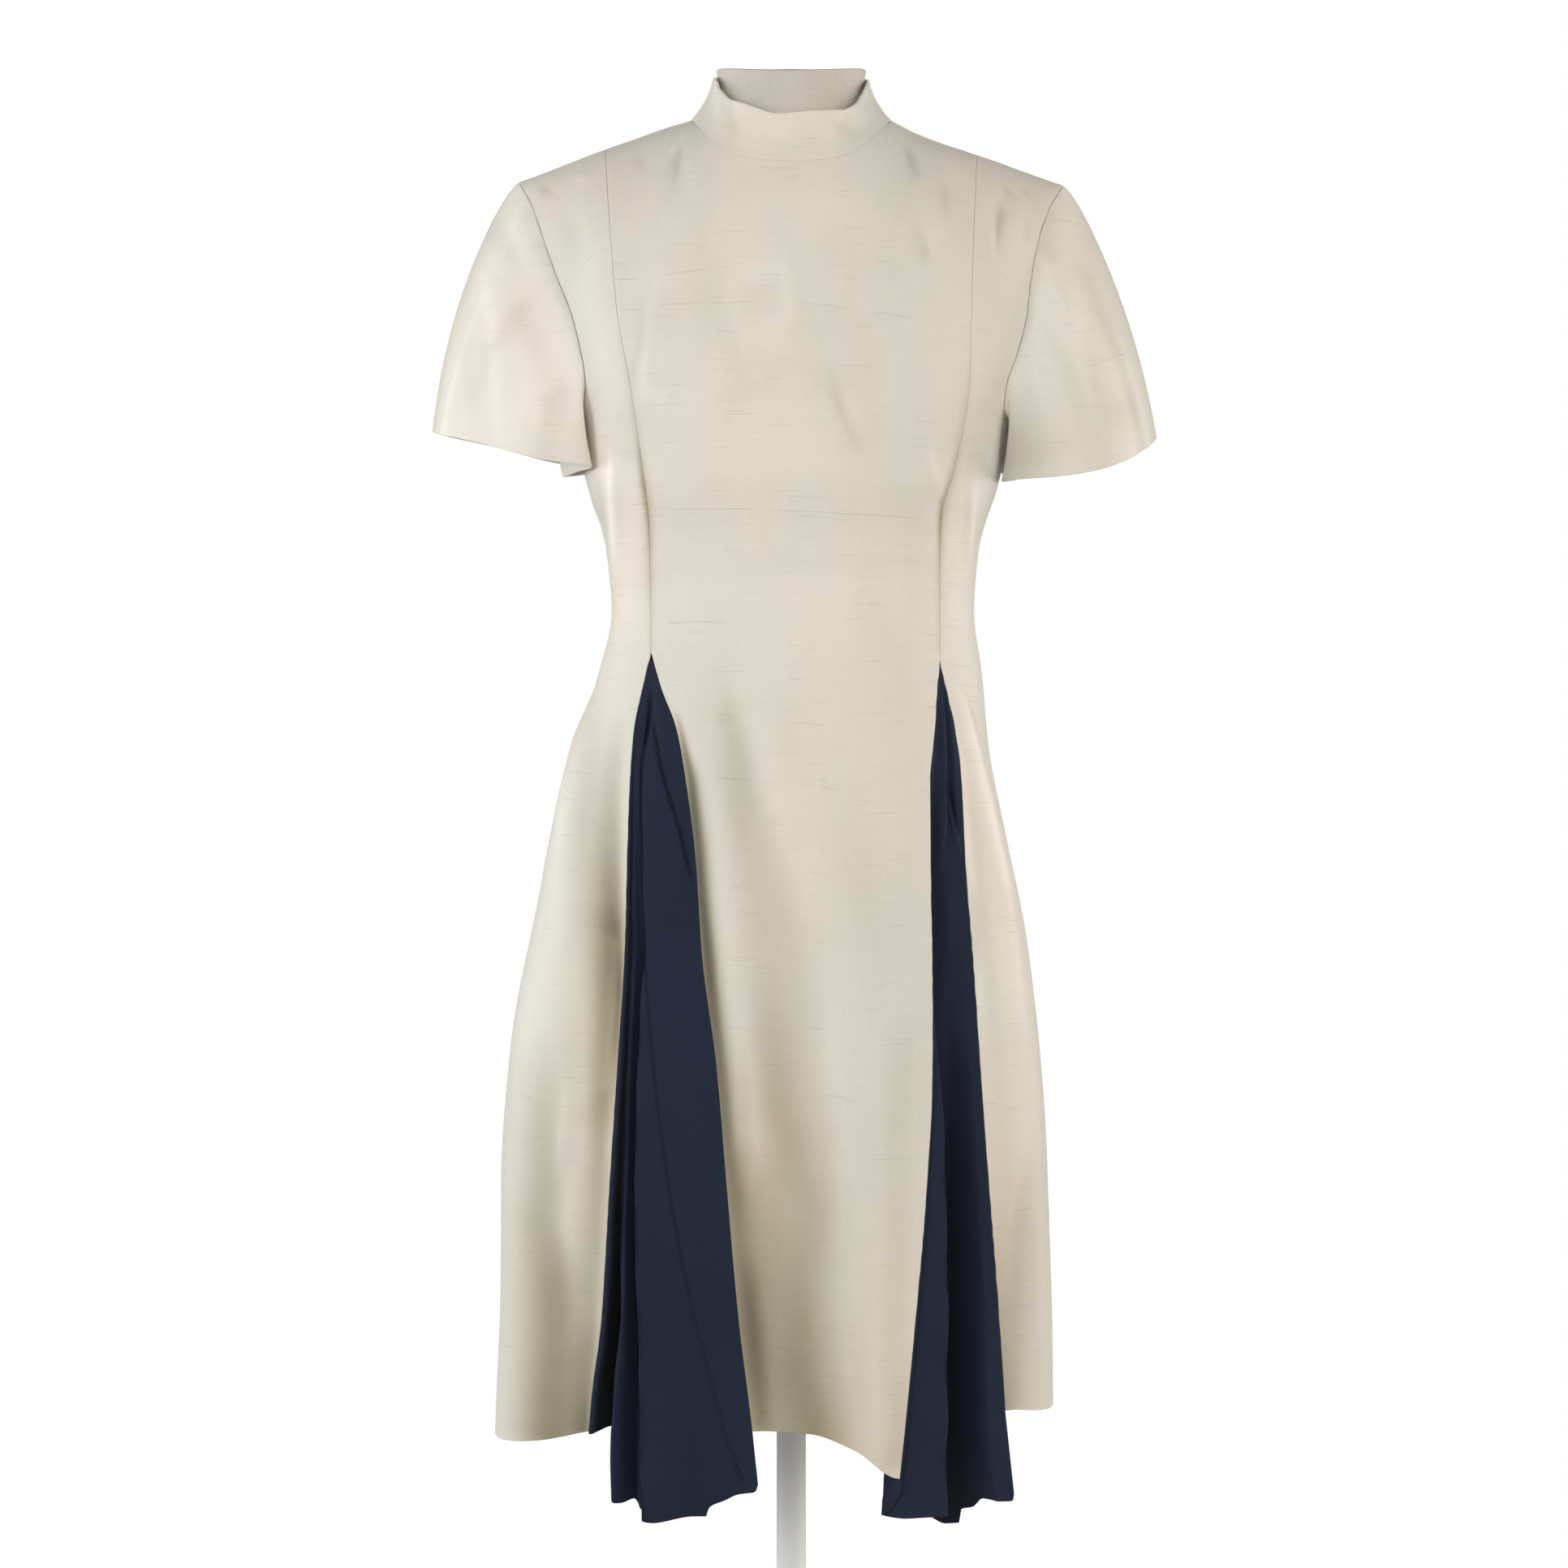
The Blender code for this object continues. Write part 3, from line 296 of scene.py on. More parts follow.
def body_normal(points, side):
    """Outward normal: the slope of y^2 - depth^2 * fullness, from a small step each way."""
    def level(p):
        return p[..., 1] ** 2 - middle_depth(p[..., 2], side) ** 2 * fullness(p[..., 0], p[..., 2], side)
    steps = NORMAL_STEP * np.eye(3)
    return unit(np.stack([level(points + s) - level(points - s) for s in steps], axis=-1))


def angle_of(x, z):
    """The angle round a section, from 0 in the middle to a right angle at the side seam."""
    share = np.clip(np.abs(x) / half_width(x, z), 0, 1)
    return np.sign(x) * np.arcsin(share ** (SQUARENESS / 2))


def x_of(angle, z):
    """The reverse of angle_of: half width * sin(angle)^(2/2.4)."""
    return np.sign(angle) * half_width(angle, z) * np.abs(np.sin(angle)) ** (2 / SQUARENESS)


def neckline_z(x, side):
    """In front a table; at the back a cosine from the neck points up to the middle."""
    if side < 0:
        return column(FRONT_NECKLINE, "z", np.abs(x), "x")
    end = SHOULDER["left"][2]
    share = np.clip(np.abs(x) / NECK_HALF_WIDTH, 0, 1)
    return end + (NECK_BACK_Z - end) * np.cos(share * np.pi / 2) ** 1.3


def top_line(x, side):
    """The neckline, and past its ends the shoulder line."""
    return np.where(np.abs(x) < NECK_HALF_WIDTH - 1e-6, neckline_z(x, side), shoulder_z(x))


def hem_line(x, side):
    """Height of the silk's hem at x."""
    return column(FRONT_HEM if side < 0 else BACK_HEM, "z", x, knots="x")


print("bust", round(float(on_body(0.0, 1.146, 1)[1] - on_body(0.0, 1.146, -1)[1]), 3), "m from front to back")


# %% [markdown]
# ## From a grid of points to a piece of cloth
#
# Each piece is a grid of points, turned into a closed shell: an outer face, an inner face moved in by
# the cloth's thickness, and rims between them. A Solidify modifier would also give thickness, but
# here the thickness changes, because the hem is turned up and doubled inside. The same grid gives
# the piece's own UV map in metres, so that the weave follows the cloth.

# %% Grids, distances and shells
def grid_quads(rows, columns, closed=False):
    """Quads of a grid as indexes of its points; a closed grid joins its last column to its first."""
    spans = columns if closed else columns - 1
    r, c = np.meshgrid(np.arange(rows - 1), np.arange(spans), indexing="ij")
    a, b = r * columns + c, r * columns + (c + 1) % columns
    return np.stack([a, b, b + columns, a + columns], axis=-1).reshape(-1, 4)


def rim_quads(rows, columns, shift, closed=False):
    """Quads between the borders of the outer grid and of the inner one, which is `shift` later."""
    spans = columns if closed else columns - 1
    c = np.arange(spans)
    a, b = c, (c + 1) % columns
    low = (rows - 1) * columns
    rims = [np.stack([b, a, a + shift, b + shift], -1),
            np.stack([a + low, b + low, b + low + shift, a + low + shift], -1)]
    if not closed:
        r = np.arange(rows - 1) * columns
        s = r + columns - 1
        rims += [np.stack([r, r + columns, r + columns + shift, r + shift], -1),
                 np.stack([s + columns, s, s + shift, s + columns + shift], -1)]
    return np.concatenate(rims)


def running(points, axis):
    """How far each point lies along its row or column, as the sum of the steps to it."""
    step = np.linalg.norm(np.diff(points, axis=axis), axis=-1)
    start = np.zeros_like(np.take(step, [0], axis=axis))
    return np.concatenate([start, np.cumsum(step, axis=axis)], axis=axis)


def edge_distances(points):
    """Distances to the first and last column and to the first and last row, along the cloth."""
    across, down = running(points, 1), running(points, 0)
    return across, across[:, -1:] - across, down, down[-1:] - down


def grid_normals(points, closed=False):
    """Cross product of the directions down and along the grid; a closed grid wraps round."""
    if closed:
        along = np.roll(points, -1, axis=1) - np.roll(points, 1, axis=1)
    else:
        along = np.gradient(points, axis=1)
    return unit(np.cross(np.gradient(points, axis=0), along))


# %% Meshes and closed shells
def make_mesh(name, vertices, quads, uv, material, body, slot, painted_shading=None):
    """A mesh from arrays: vertices (n, 3), quads (m, 4), one UV for each corner (m, 4, 2), and if
    given a painted shading for each vertex: painted shade, by which its material darkens the cloth,
    or below 0 a painted highlight, by which it lightens it."""
    mesh = bpy.data.meshes.new(name)
    mesh.from_pydata(np.asarray(vertices, float).reshape(-1, 3), [], quads)
    layer = mesh.uv_layers.new(name="UVMap")
    layer.data.foreach_set("uv", np.asarray(uv, np.float32).ravel())
    if painted_shading is not None:
        mesh.attributes.new("painted_shading", "FLOAT", "POINT").data.foreach_set("value", np.float32(painted_shading).ravel())
    mesh.shade_smooth()
    mesh.materials.append(material)
    piece = bpy.data.objects.new(name, mesh)
    bpy.context.collection.objects.link(piece)
    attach(piece, body)
    return piece


def shell(name, points, outward, outer_depth, inner_depth, uv, material, slot, closed=False, painted_shading=None):
    """A closed shell: two grids, each the given one moved in by a depth, and the rims between them.
    The winding is turned where the grid's own normals point in."""
    outer, inner = (points - outward * depth[:, :, None] for depth in (outer_depth, inner_depth))
    rows, columns = outer.shape[:2]
    shift = rows * columns
    quads = grid_quads(rows, columns, closed)
    rims = rim_quads(rows, columns, shift, closed)
    corners = grid_quads(rows, uv.shape[1])
    flat_uv = uv.reshape(-1, 2)
    rim_uv = flat_uv[np.minimum(rims % shift, len(flat_uv) - 1)]
    all_quads = np.concatenate([quads, quads[:, ::-1] + shift, rims])
    all_uv = np.concatenate([flat_uv[corners], flat_uv[corners[:, ::-1]], rim_uv])
    turned = np.cross(outer[1:, :-1] - outer[:-1, :-1], outer[:-1, 1:] - outer[:-1, :-1])
    if np.sum(turned * outward[:-1, :-1]) > 0:
        all_quads, all_uv = all_quads[:, ::-1], all_uv[:, ::-1]
    vertices = np.concatenate([outer.reshape(-1, 3), inner.reshape(-1, 3)])
    painted_shading = None if painted_shading is None else np.concatenate([painted_shading, painted_shading])
    return make_mesh(name, vertices, all_quads, all_uv, material, "dress", slot, painted_shading)


# %% [markdown]
# ## Creases
#
# Hung silk is never flat. Soft drapes fall from the waist, short troughs start at seams and at the
# collar, and the panels roll back beside the godets. They could come from a cloth simulation, but
# then they would land where the solver likes. Here each crease is a line of points, with its width
# and its height at every point, so each one lies where the real dress has it.
#
# A soft light leaves shallow folds almost unseen, so their troughs are painted darker and their
# ridges lighter, as painted shade and painted highlights. A second set of lines paints more shade
# and highlights onto the cloth and doesn't move it. A painted texture could hold them too, but
# lines can be read and moved like any other measure.

# %% Creases of the front: x, z, width and height at each point, in millimetres
FRONT_CREASES = strokes(
    (-105, 1300, 5, 0,  -107, 1270, 5, -1.2,  -111, 1240, 5, -1.5,  -117, 1208, 4, 0),
    (31, 1222, 4, 0,  34, 1194, 4.5, -1.6,  45, 1169, 4.5, -1.4,  54, 1152, 4, 0),
    (101, 1160, 5, 0,  106, 1140, 5, 1.7,  111, 1118, 5, 0),
    (92, 1340, 5, 0,  95, 1320, 5, -1.3,  102, 1296, 5, 0),
    (-83, 1404, 6, 0,  -87, 1386, 6, -1.6,  -90, 1360, 8, 0),
    (-80, 1400, 6, 0,  -75, 1375, 6, 1.6,  -71, 1345, 7, 0),
    (83, 1404, 7, 0,  88, 1386, 7, -1.4,  93, 1360, 8, 0),
    (114, 1388, 7, 0,  116, 1358, 7, -1.1,  118, 1325, 7, 0),
    (-20, 1375, 22, 0,  -17, 1300, 22, 1.2,  -13, 1225, 22, 0),
    (12, 1330, 20, 0,  18, 1260, 20, -0.8,  24, 1195, 20, 0),
    (-62, 1360, 16, 0,  -65, 1290, 16, -1.2,  -68, 1225, 16, 0),
    (-52, 996, 5, 0,  -44, 959, 9, -3,  -33, 896, 14, -6.2,  -20, 845, 19, -6.5,  -8, 782, 21, -6.5,
     -1, 718, 23, -7.5,  6, 654, 27, -10,  -2, 600, 32, -13,  -10, 540, 37, -16.5,  -10, 430, 42, -19),
    (-10, 950, 14, 0,  -9, 880, 14, 1.8,  -6, 810, 14, 0),
    (-12, 850, 4, 0,  -6, 820, 4, -1,  1, 790, 4, 0),
    (-94, 990, 4, 0,  -83.5, 950, 6, -3,  -75.5, 900, 7, -5.5,  -68, 820, 7.5, -7,  -60, 750, 8, -7,
     -51.5, 680, 8, -6,  -44.5, 600, 8, -4.5,  -38, 530, 8, -3,  -26, 430, 8, -1),
    (-52, 840, 8, 0,  -46, 760, 11, 2.6,  -36, 680, 11, 3.4,  -30, 610, 9, 0),
    (30, 800, 24, 0,  38, 700, 26, 2.8,  42, 600, 26, 3,  47, 440, 28, 3.4),
    (86, 760, 14, 0,  79, 700, 16, -2.4,  76, 600, 16, -2.6,  70, 420, 16, -3),
    (54, 930, 18, 0,  57, 850, 18, -1.4,  62, 760, 18, -1.4,  65, 700, 18, 0),
    (-85, 1070, 30, 0,  -45, 1068, 42, 4,  0, 1066, 45, 4.5,  50, 1068, 42, 4,  90, 1070, 30, 0),
    (-134, 1170, 6, 0,  -133, 1130, 6, 3.3,  -131, 1090, 6, 2.6,  -130, 1060, 6, 0),
    (-146, 1150, 5, 0,  -143, 1110, 5, -2.2,  -140, 1070, 5, 0),
    (-133, 1168, 5, 0,  -126, 1164, 6, 1.4,  -117, 1160, 5, 0),
    (-168, 1355, 8, 0,  -162, 1320, 8, -1.1,  -156, 1285, 8, 0),
    (-154, 990, 10, 0,  -160, 950, 11, 3.8,  -166, 905, 12, 4.8,  -174, 855, 12, 4.5,  -180, 800, 12, 0),
    (-126, 975, 8, 0,  -131, 909, 10, -4,  -133.5, 857, 11.5, -7,  -134, 812, 12.5, -9.5,
     -134, 767, 12, -9,  -134, 700, 12, -6,  -138, 640, 11, -4,  -143, 560, 11, -3,  -152, 440, 10, -2),
    (-178, 730, 12, 0,  -181, 676, 14, -4,  -178, 624, 15, -6,  -182, 585, 16, -8,  -170, 540, 18, -10,
     -164, 502, 19, -12,  -169, 420, 20, -13),
    (-157, 780, 14, 0,  -163, 680, 16, 1.8,  -169, 560, 16, 2,  -171, 440, 16, 2.6),
    (-147, 660, 8, 0,  -150, 560, 9, -1.8,  -154, 440, 10, -2.4),
    (-160, 690, 5, 0,  -167, 655, 6, 2.2,  -176, 610, 6, 0),
    (139, 1150, 4, 0,  135, 1125, 4, 2.6,  132, 1090, 4, 2.2,  130, 1060, 4, 0),
    (162, 1366, 6, 0,  156, 1338, 7, -1.3,  151, 1306, 6, 0),
    (172, 1355, 6, 0,  166, 1330, 6, 1.3,  162, 1305, 6, 0),
    (150, 1375, 5, 0,  147, 1350, 6, 1.3,  144, 1322, 6, 0),
    (118, 1000, 4, 0,  126, 975, 5, 3.4,  135, 940, 6, 4.1,  145, 900, 6.5, 4.4,  158, 838, 7, 4.1,
     168, 760, 8, 2.7,  175, 690, 8, 0),
    (126, 940, 5, 0,  131, 905, 5, -1.8,  138, 846, 6, -1.8,  144, 770, 7, -1.6,  150, 690, 7, 0),
    (154, 740, 9, 0,  158, 640, 10, 1.2,  163, 450, 10, 1.8),
    (178, 730, 8, 0,  181, 600, 9, -1.4,  184, 450, 10, -1.8),
    (172, 640, 10, 0,  171, 584, 13, -4,  170, 525, 13, -5,  172, 450, 12, -3),
    (-82.6, 1400, 2.4, 0,  -83.8, 1386, 3, -1.4,  -86.7, 1366, 3, -0.8,  -89.5, 1344, 3, 0),
    (-92.2, 1380, 2.4, 0,  -87.4, 1389, 3, 1.2,  -80.2, 1401, 2.4, 0),
    (86, 1396, 2.4, 0,  89.6, 1385, 3, -1.5,  93.1, 1372, 3, -0.8,  95.4, 1354, 2.4, 0),
    (156.8, 1354, 2.4, 0,  156.6, 1340, 3, -1.2,  154, 1326, 3, -1.2,  151.4, 1308, 2.4, 0),
    (152.4, 1343, 2.4, 0,  150.3, 1321, 2.4, 1.1,  148.8, 1300, 2.4, 0),
    (114.2, 1365, 3, 0,  114.7, 1350, 3.5, -1,  115.7, 1329, 3, 0),
    (98.1, 1324, 3, 0,  99.2, 1309, 3, -0.9,  100.8, 1295, 3, 0),
    (155.1, 1370, 1.8, 0,  161.7, 1360, 2.4, -0.9,  170.3, 1352, 1.8, 0),
    (172.9, 1367, 1.8, 0,  177.2, 1359, 2.4, -0.9,  181.6, 1353, 1.8, 0),
    (-115.9, 1393, 3, 0,  -112.8, 1382, 4.1, -0.9,  -110.8, 1366, 3, 0),
    (-191.3, 1367, 3, 0,  -183.7, 1362, 4.1, -1,  -172.4, 1353, 3, 0),
    (-166.4, 1374, 2.4, 0,  -156.5, 1369, 3.5, 0.9,  -144.8, 1366, 2.4, 0))

# %% Painted shade of the front: x, z and width at each point in millimetres, and the shade in thousandths, below 0 a painted highlight
FRONT_PAINTED_SHADING = strokes(
    (-128, 966, 4.7, 0,  -130, 936, 5.9, 40,  -134, 903, 8.3, 80,  -135.5, 870, 8.9, 170,
     -135.2, 838, 9.4, 310,  -135, 811, 10, 390,  -135.4, 788, 10.6, 420,  -138.3, 755, 8.5, 310,
     -140.4, 705, 8.5, 290,  -141.3, 658, 8.5, 250,  -141.1, 612, 10.6, 220,  -143.3, 565, 11.8, 200,
     -145.5, 518, 13, 250,  -149, 483, 9.4, 280,  -152.4, 448, 9.4, 320),
    (-146, 985, 9.4, 0,  -147.7, 936, 10.6, 150,  -151.9, 888, 11.8, 190,  -153.6, 829, 14.2, 150,
     -158, 775, 16.5, 100,  -163.7, 716, 17.7, 150,  -170.7, 657, 18.9, 160,  -175.3, 598, 20.1, 180,
     -177.6, 550, 18.9, 350,  -179.9, 509, 17.7, 380,  -180.7, 442, 18.9, 440),
    (-152.9, 529, 8.3, 0,  -158.8, 494, 9.4, 150,  -158.5, 447, 10.6, 240),
    (-85.3, 970, 1.5, 0,  -81.6, 954, 2.4, 380,  -77.9, 936, 3.5, 600,  -73.9, 918, 5.6, 670,
     -71.4, 894, 6.4, 710,  -68.3, 868, 7.1, 710,  -65.9, 835, 7.4, 710,  -62.9, 806, 7.8, 710,
     -59.2, 771, 8.5, 690,  -55.1, 736, 9.2, 650,  -50.3, 698, 10, 630,  -46.7, 660, 10, 600,
     -42.1, 620, 12.4, 520,  -39.7, 585, 13.4, 400,  -36.2, 545, 14.1, 384,  -32, 499, 12.4, 312,
     -27.9, 459, 10.6, 184),
    (-29.5, 660, 13, 0,  -23.7, 626, 16.5, 68,  -14.9, 579, 21.2, 135,  -10.2, 533, 23.6, 197,
     -7.9, 493, 24.8, 229,  -4.4, 450, 26, 216),
    (8.5, 602, 11.8, 0,  8.5, 545, 15.3, 120,  11.3, 487, 17.7, 180,  20, 447, 17.7, 220),
    (149.8, 610, 10.6, 0,  149.4, 528, 11.8, 100,  150.3, 464, 13, 160),
    (-128.6, 1253, 1.8, 0,  -119.3, 1210, 3, 90,  -111.5, 1156, 3.5, 140,  -105.7, 1121, 4.1, 220,
     -104.2, 1097, 4.1, 220,  -103.9, 1062, 3.5, 140,  -103.8, 1014, 3, 60),
    (131.8, 1241, 1.8, 0,  130.6, 1211, 3, 80,  122.1, 1157, 3.5, 140,  111, 1112, 3.5, 200,
     109, 1074, 3, 140,  109.1, 1014, 2.4, 60),
    (114.5, 996, 2.4, 0,  121.3, 984, 3, -50,  129.2, 954, 3.5, -70,  138.4, 918, 3.5, -80,
     147.6, 882, 3.5, -80,  156.8, 849, 4.1, -70,  163.1, 827, 4.7, 0),
    (-143.3, 1017, 4.1, 0,  -150.7, 998, 4.7, -50,  -161.7, 980, 4.7, -60,  -167.3, 955, 4.7, -70,
     -169.7, 918, 4.7, -70,  -168.8, 882, 4.7, -50,  -170.8, 858, 4.7, 0),
    (159.8, 756, 17.7, 0,  159.4, 721, 17.7, 70,  159.5, 656, 17.7, 120,  158.4, 585, 20.4, 230,
     157.5, 539, 20.4, 290,  156.7, 492, 19, 340,  155.9, 463, 17.6, 380),
    (-29.6, 783, 13, 0,  -17.9, 730, 16.5, 120,  -12, 684, 16.5, 170,  5.6, 637, 16.5, 120,
     14.3, 608, 16.5, 150,  14.3, 545, 16.5, 55,  20.1, 487, 16.5, 55,  21.2, 453, 16.5, 65),
    (37.9, 730, 14.2, 0,  37.8, 637, 14.8, 70,  38.8, 545, 14.8, 110,  41.1, 499, 14.8, 150,
     43.3, 441, 14.8, 170),
    (-56.8, 1025, 17.7, 0,  -56.6, 983, 17.7, 40,  -50.5, 924, 17.7, 50,  -46.9, 877, 14.2, 0),
    (-194.7, 737, 14.2, 0,  -197.5, 654, 14.8, 110,  -198.7, 535, 14.8, 120,  -200, 441, 14.8, 150),
    (-125.4, 829, 41, 0,  -126.4, 800, 4.1, 220,  -127.4, 764, 4.7, 540,  -129, 729, 4.7, 420,
     -130.1, 694, 4.7, 160,  -131.7, 659, 41, 0),
    (-48.9, 983, 61.6, 0,  -42.9, 960, 6.2, 50,  -37.5, 936, 6.2, 70,  -29.8, 894, 6.6, 40,
     -23.8, 859, 66.4, 0),
    (-104.2, 1298, 41, 0,  -105.2, 1276, 4.1, -45,  -107.3, 1239, 4.1, -53,  -109.6, 1209, 4.1, -45,
     -110.8, 1186, 41, 0),
    (-73, 1322, 53, 0,  -4.3, 1287, 5.3, -38,  -2, 1253, 5.3, -45,  -85, 1223, 53, 0),
    (-50.8, 1281, 53, 0,  -45.3, 1244, 5.3, 30,  -37.5, 1208, 5.3, 35,  -31.5, 1172, 53, 0),
    (-10.9, 1232, 47, 0,  -14.4, 1211, 4.7, 35,  -17.3, 1187, 47, 0),
    (31.7, 1217, 24, 0,  34.6, 1192, 2.4, 60,  44.7, 1168, 2.4, 50,  52.4, 1153, 24, 0),
    (-82.6, 1398, 3, 0,  -83.2, 1389, 3, 70,  -84.9, 1375, 3.5, 60,  -87.8, 1359, 3, 0),
    (87.2, 1395, 3, 0,  89.6, 1387, 3, 80,  92.5, 1377, 3.5, 70,  94.8, 1362, 3, 0),
    (156.2, 1354, 3, 0,  156.6, 1340, 3, 70,  154, 1327, 3, 80,  152, 1311, 2.4, 0),
    (177.1, 1340, 2.4, 0,  175.7, 1326, 2.4, 60,  174.4, 1307, 2.4, 0),
    (-108.2, 1063, 11.8, 0,  -74.7, 1061, 15.3, -35,  -0.2, 1060, 16.5, -40,  74.4, 1061, 15.3, -35,
     111, 1063, 11.8, 0),
    (-36.6, 724, 4.7, 0,  -33.7, 684, 5.3, 90,  -32.5, 649, 5.3, 140,  -31.9, 623, 4.7, 0),
    (83.3, 515, 7.1, 0,  80.2, 475, 8.3, 120,  76, 429, 8.3, 180),
    (132.4, 846, 3.5, 0,  134.6, 823, 4.1, 120,  136.2, 796, 4.1, 120,  138.5, 769, 3.5, 0),
    (-156.4, 1352, 15.3, -20,  -152.2, 1297, 15.3, -50,  -140.7, 1229, 13, -60,  -136.1, 1176, 10.6, -60,
     -134, 1140, 9.4, -20),
    (162.3, 1208, 4.7, -30,  155.5, 1172, 4.7, -60,  153.5, 1146, 4.7, -30),
    (151.7, 1339, 2.4, 0,  150.3, 1321, 3, -50,  148.9, 1303, 2.4, 0),
    (-92.2, 1382, 3, 0,  -88, 1388, 3, -60,  -81.4, 1399, 3, -50,  -78.4, 1402, 2.4, 0),
    (114.2, 1362, 3.5, 0,  114.7, 1351, 3.5, 50,  115.1, 1334, 3.5, 0),
    (98.1, 1322, 3, 0,  99.2, 1309, 3, 50,  100.2, 1297, 3, 0),
    (81.2, 1393, 3, 0,  84.7, 1381, 3.5, -50,  87.6, 1368, 3, 0),
    (-115.9, 1391, 3.5, 0,  -112.8, 1382, 4.7, 40,  -111.5, 1368, 3.5, 0),
    (-191.3, 1366, 3.5, 0,  -183.7, 1362, 4.7, 60,  -173.6, 1355, 3.5, 0),
    (155.1, 1369, 2.4, 0,  161.7, 1360, 2.4, 60,  169.7, 1353, 2.4, 0),
    (172.9, 1366, 2.4, 0,  177.2, 1359, 2.4, 60,  180.9, 1354, 2.4, 0),
    (-134.3, 1165, 2.4, 0,  -133.2, 1152, 2.4, -80,  -131.5, 1111, 2.4, -90,  -132.2, 1082, 2.4, -40,
     -132.6, 1058, 2.4, 0),
    (134.2, 1143, 2.4, 0,  133.9, 1128, 2.4, -70,  133.9, 1105, 2.4, -70,  134, 1076, 2.4, 0),
    (102, 1165, 2.4, 0,  103.8, 1150, 2.4, -45,  107, 1133, 2.4, -30,  108.4, 1126, 1.8, 0),
    (-115.1, 1177, 1.5, 0,  -112.1, 1159, 1.5, 160,  -108.6, 1133, 1.8, 300,  -105.3, 1109, 1.5, 200,
     -104.3, 1086, 1.2, 80,  -104, 1050, 1.2, 0),
    (124.6, 1169, 1.2, 0,  116.2, 1138, 1.5, 150,  110.2, 1122, 1.8, 300,  108.7, 1103, 1.5, 250,
     109, 1080, 1.2, 80,  109.2, 1050, 1.2, 0),
    (-43.1, 1287, 5.3, 0,  -43, 1263, 5.3, -30,  -44.6, 1214, 5.3, 0),
    (-27.6, 1290, 5.9, 0,  -26.9, 1250, 5.9, 25,  -26.8, 1208, 5.9, 0),
    (-116.9, 1230, 1.8, 0,  -115.7, 1216, 1.8, 50,  -114.4, 1198, 1.8, 0),
    (-31.8, 579, 5.3, 0,  -30, 556, 5.9, 80,  -26.5, 522, 7.1, 140,  -23, 482, 7.1, 120,
     -20.6, 456, 7.1, 100))

# %% Creases of the back
BACK_CREASES = strokes(
    (-60, 990, 14, 0,  -70, 880, 16, -3,  -82, 700, 18, -3.4,  -90, 440, 20, -4),
    (52, 980, 14, 0,  64, 860, 16, -2.6,  78, 680, 18, -3.2,  86, 440, 20, -3.6),
    (-110, 930, 12, 0,  -124, 800, 14, 2.4,  -138, 600, 16, 2.8,  -144, 430, 17, 3),
    (104, 920, 12, 0,  118, 780, 14, 2.2,  130, 600, 16, 2.6,  134, 440, 16, 2.8),
    (-26, 860, 16, 0,  -34, 700, 18, 2.2,  -40, 440, 20, 3),
    (30, 840, 15, 0,  36, 660, 17, 2,  38, 440, 18, 2.8),
    (-140, 1200, 8, 0,  -118, 1150, 9, -1.4,  -98, 1105, 8, 0),
    (142, 1205, 8, 0,  120, 1160, 9, -1.4,  96, 1120, 8, 0),
    (-100, 1060, 10, 0,  -50, 1050, 10, -1.4,  -6, 1058, 8, 0),
    (8, 1044, 8, 0,  56, 1036, 10, -1.6,  104, 1048, 9, 0),
    (-70, 1380, 9, 0,  -76, 1330, 11, -1.2,  -74, 1270, 10, 0),
    (74, 1384, 9, 0,  84, 1330, 11, -1.1,  80, 1260, 10, 0))

print("creases", len(FRONT_CREASES), "in front and", len(BACK_CREASES), "behind, painted_shades", len(FRONT_PAINTED_SHADING))


# %% From the lines to a relief, and by the same sum to painted shade and highlights
def relief(x, z, lines):
    """Height of the cloth off its plain surface. Each line adds height * exp(-(distance / width)^2),
    with width and height running from one point of the line to the next."""
    total = np.zeros_like(x)
    for px, pz, width, height in lines:
        best = np.zeros_like(x)
        for i in range(len(px) - 1):
            dx, dz = px[i + 1] - px[i], pz[i + 1] - pz[i]
            t = np.clip(((x - px[i]) * dx + (z - pz[i]) * dz) / (dx * dx + dz * dz), 0, 1)
            distance = np.hypot(x - px[i] - t * dx, z - pz[i] - t * dz)
            wide = width[i] + t * (width[i + 1] - width[i])
            high = height[i] + t * (height[i + 1] - height[i])
            part = high * np.exp(-(distance / wide) ** 2)
            best = np.where(np.abs(part) > np.abs(best), part, best)
        total += best
    return total


# %% Unevenness, painted shade of the folds and puckers
def slack(x, z, seed):
    """Faint unevenness of hung cloth: three slow waves across, each bent by a slower wave down."""
    a = np.sin(x * 62 + 2.1 * np.sin(z * 7.3 + seed) + seed)
    b = np.sin(x * 117 + 2.6 * np.sin(z * 11.9 + 2 * seed) + 1.7 * seed)
    c = np.sin(z * 41 + 2.3 * np.sin(x * 23 + seed))
    return 0.00022 * a + 0.00012 * b + 0.00016 * c


def fade_in(height, reach):
    """0 at no height, and ever nearer to 1 as the height passes the reach."""
    return 1 - np.exp(-np.maximum(height, 0) / reach)


def painted_fold_shading(height):
    """Painted shade in the folds and painted highlights on the ridges: up to 26 % darker in a deep
    trough, with half of that a few millimetres down, and up to 3 % lighter on a ridge."""
    return 0.26 * fade_in(-height, 0.006) - 0.03 * fade_in(height, 0.003)


def pucker(along, distance, seed, height=0.00030, reach=0.006):
    """Small gathers beside a seam: an uneven wave along it that dies away with the distance."""
    wave = np.sin(along * 330 + 2.4 * np.sin(along * 61 + seed)) * (0.6 + 0.4 * np.sin(along * 29 + 2 * seed))
    return height * wave * np.exp(-(distance / reach) ** 1.5)


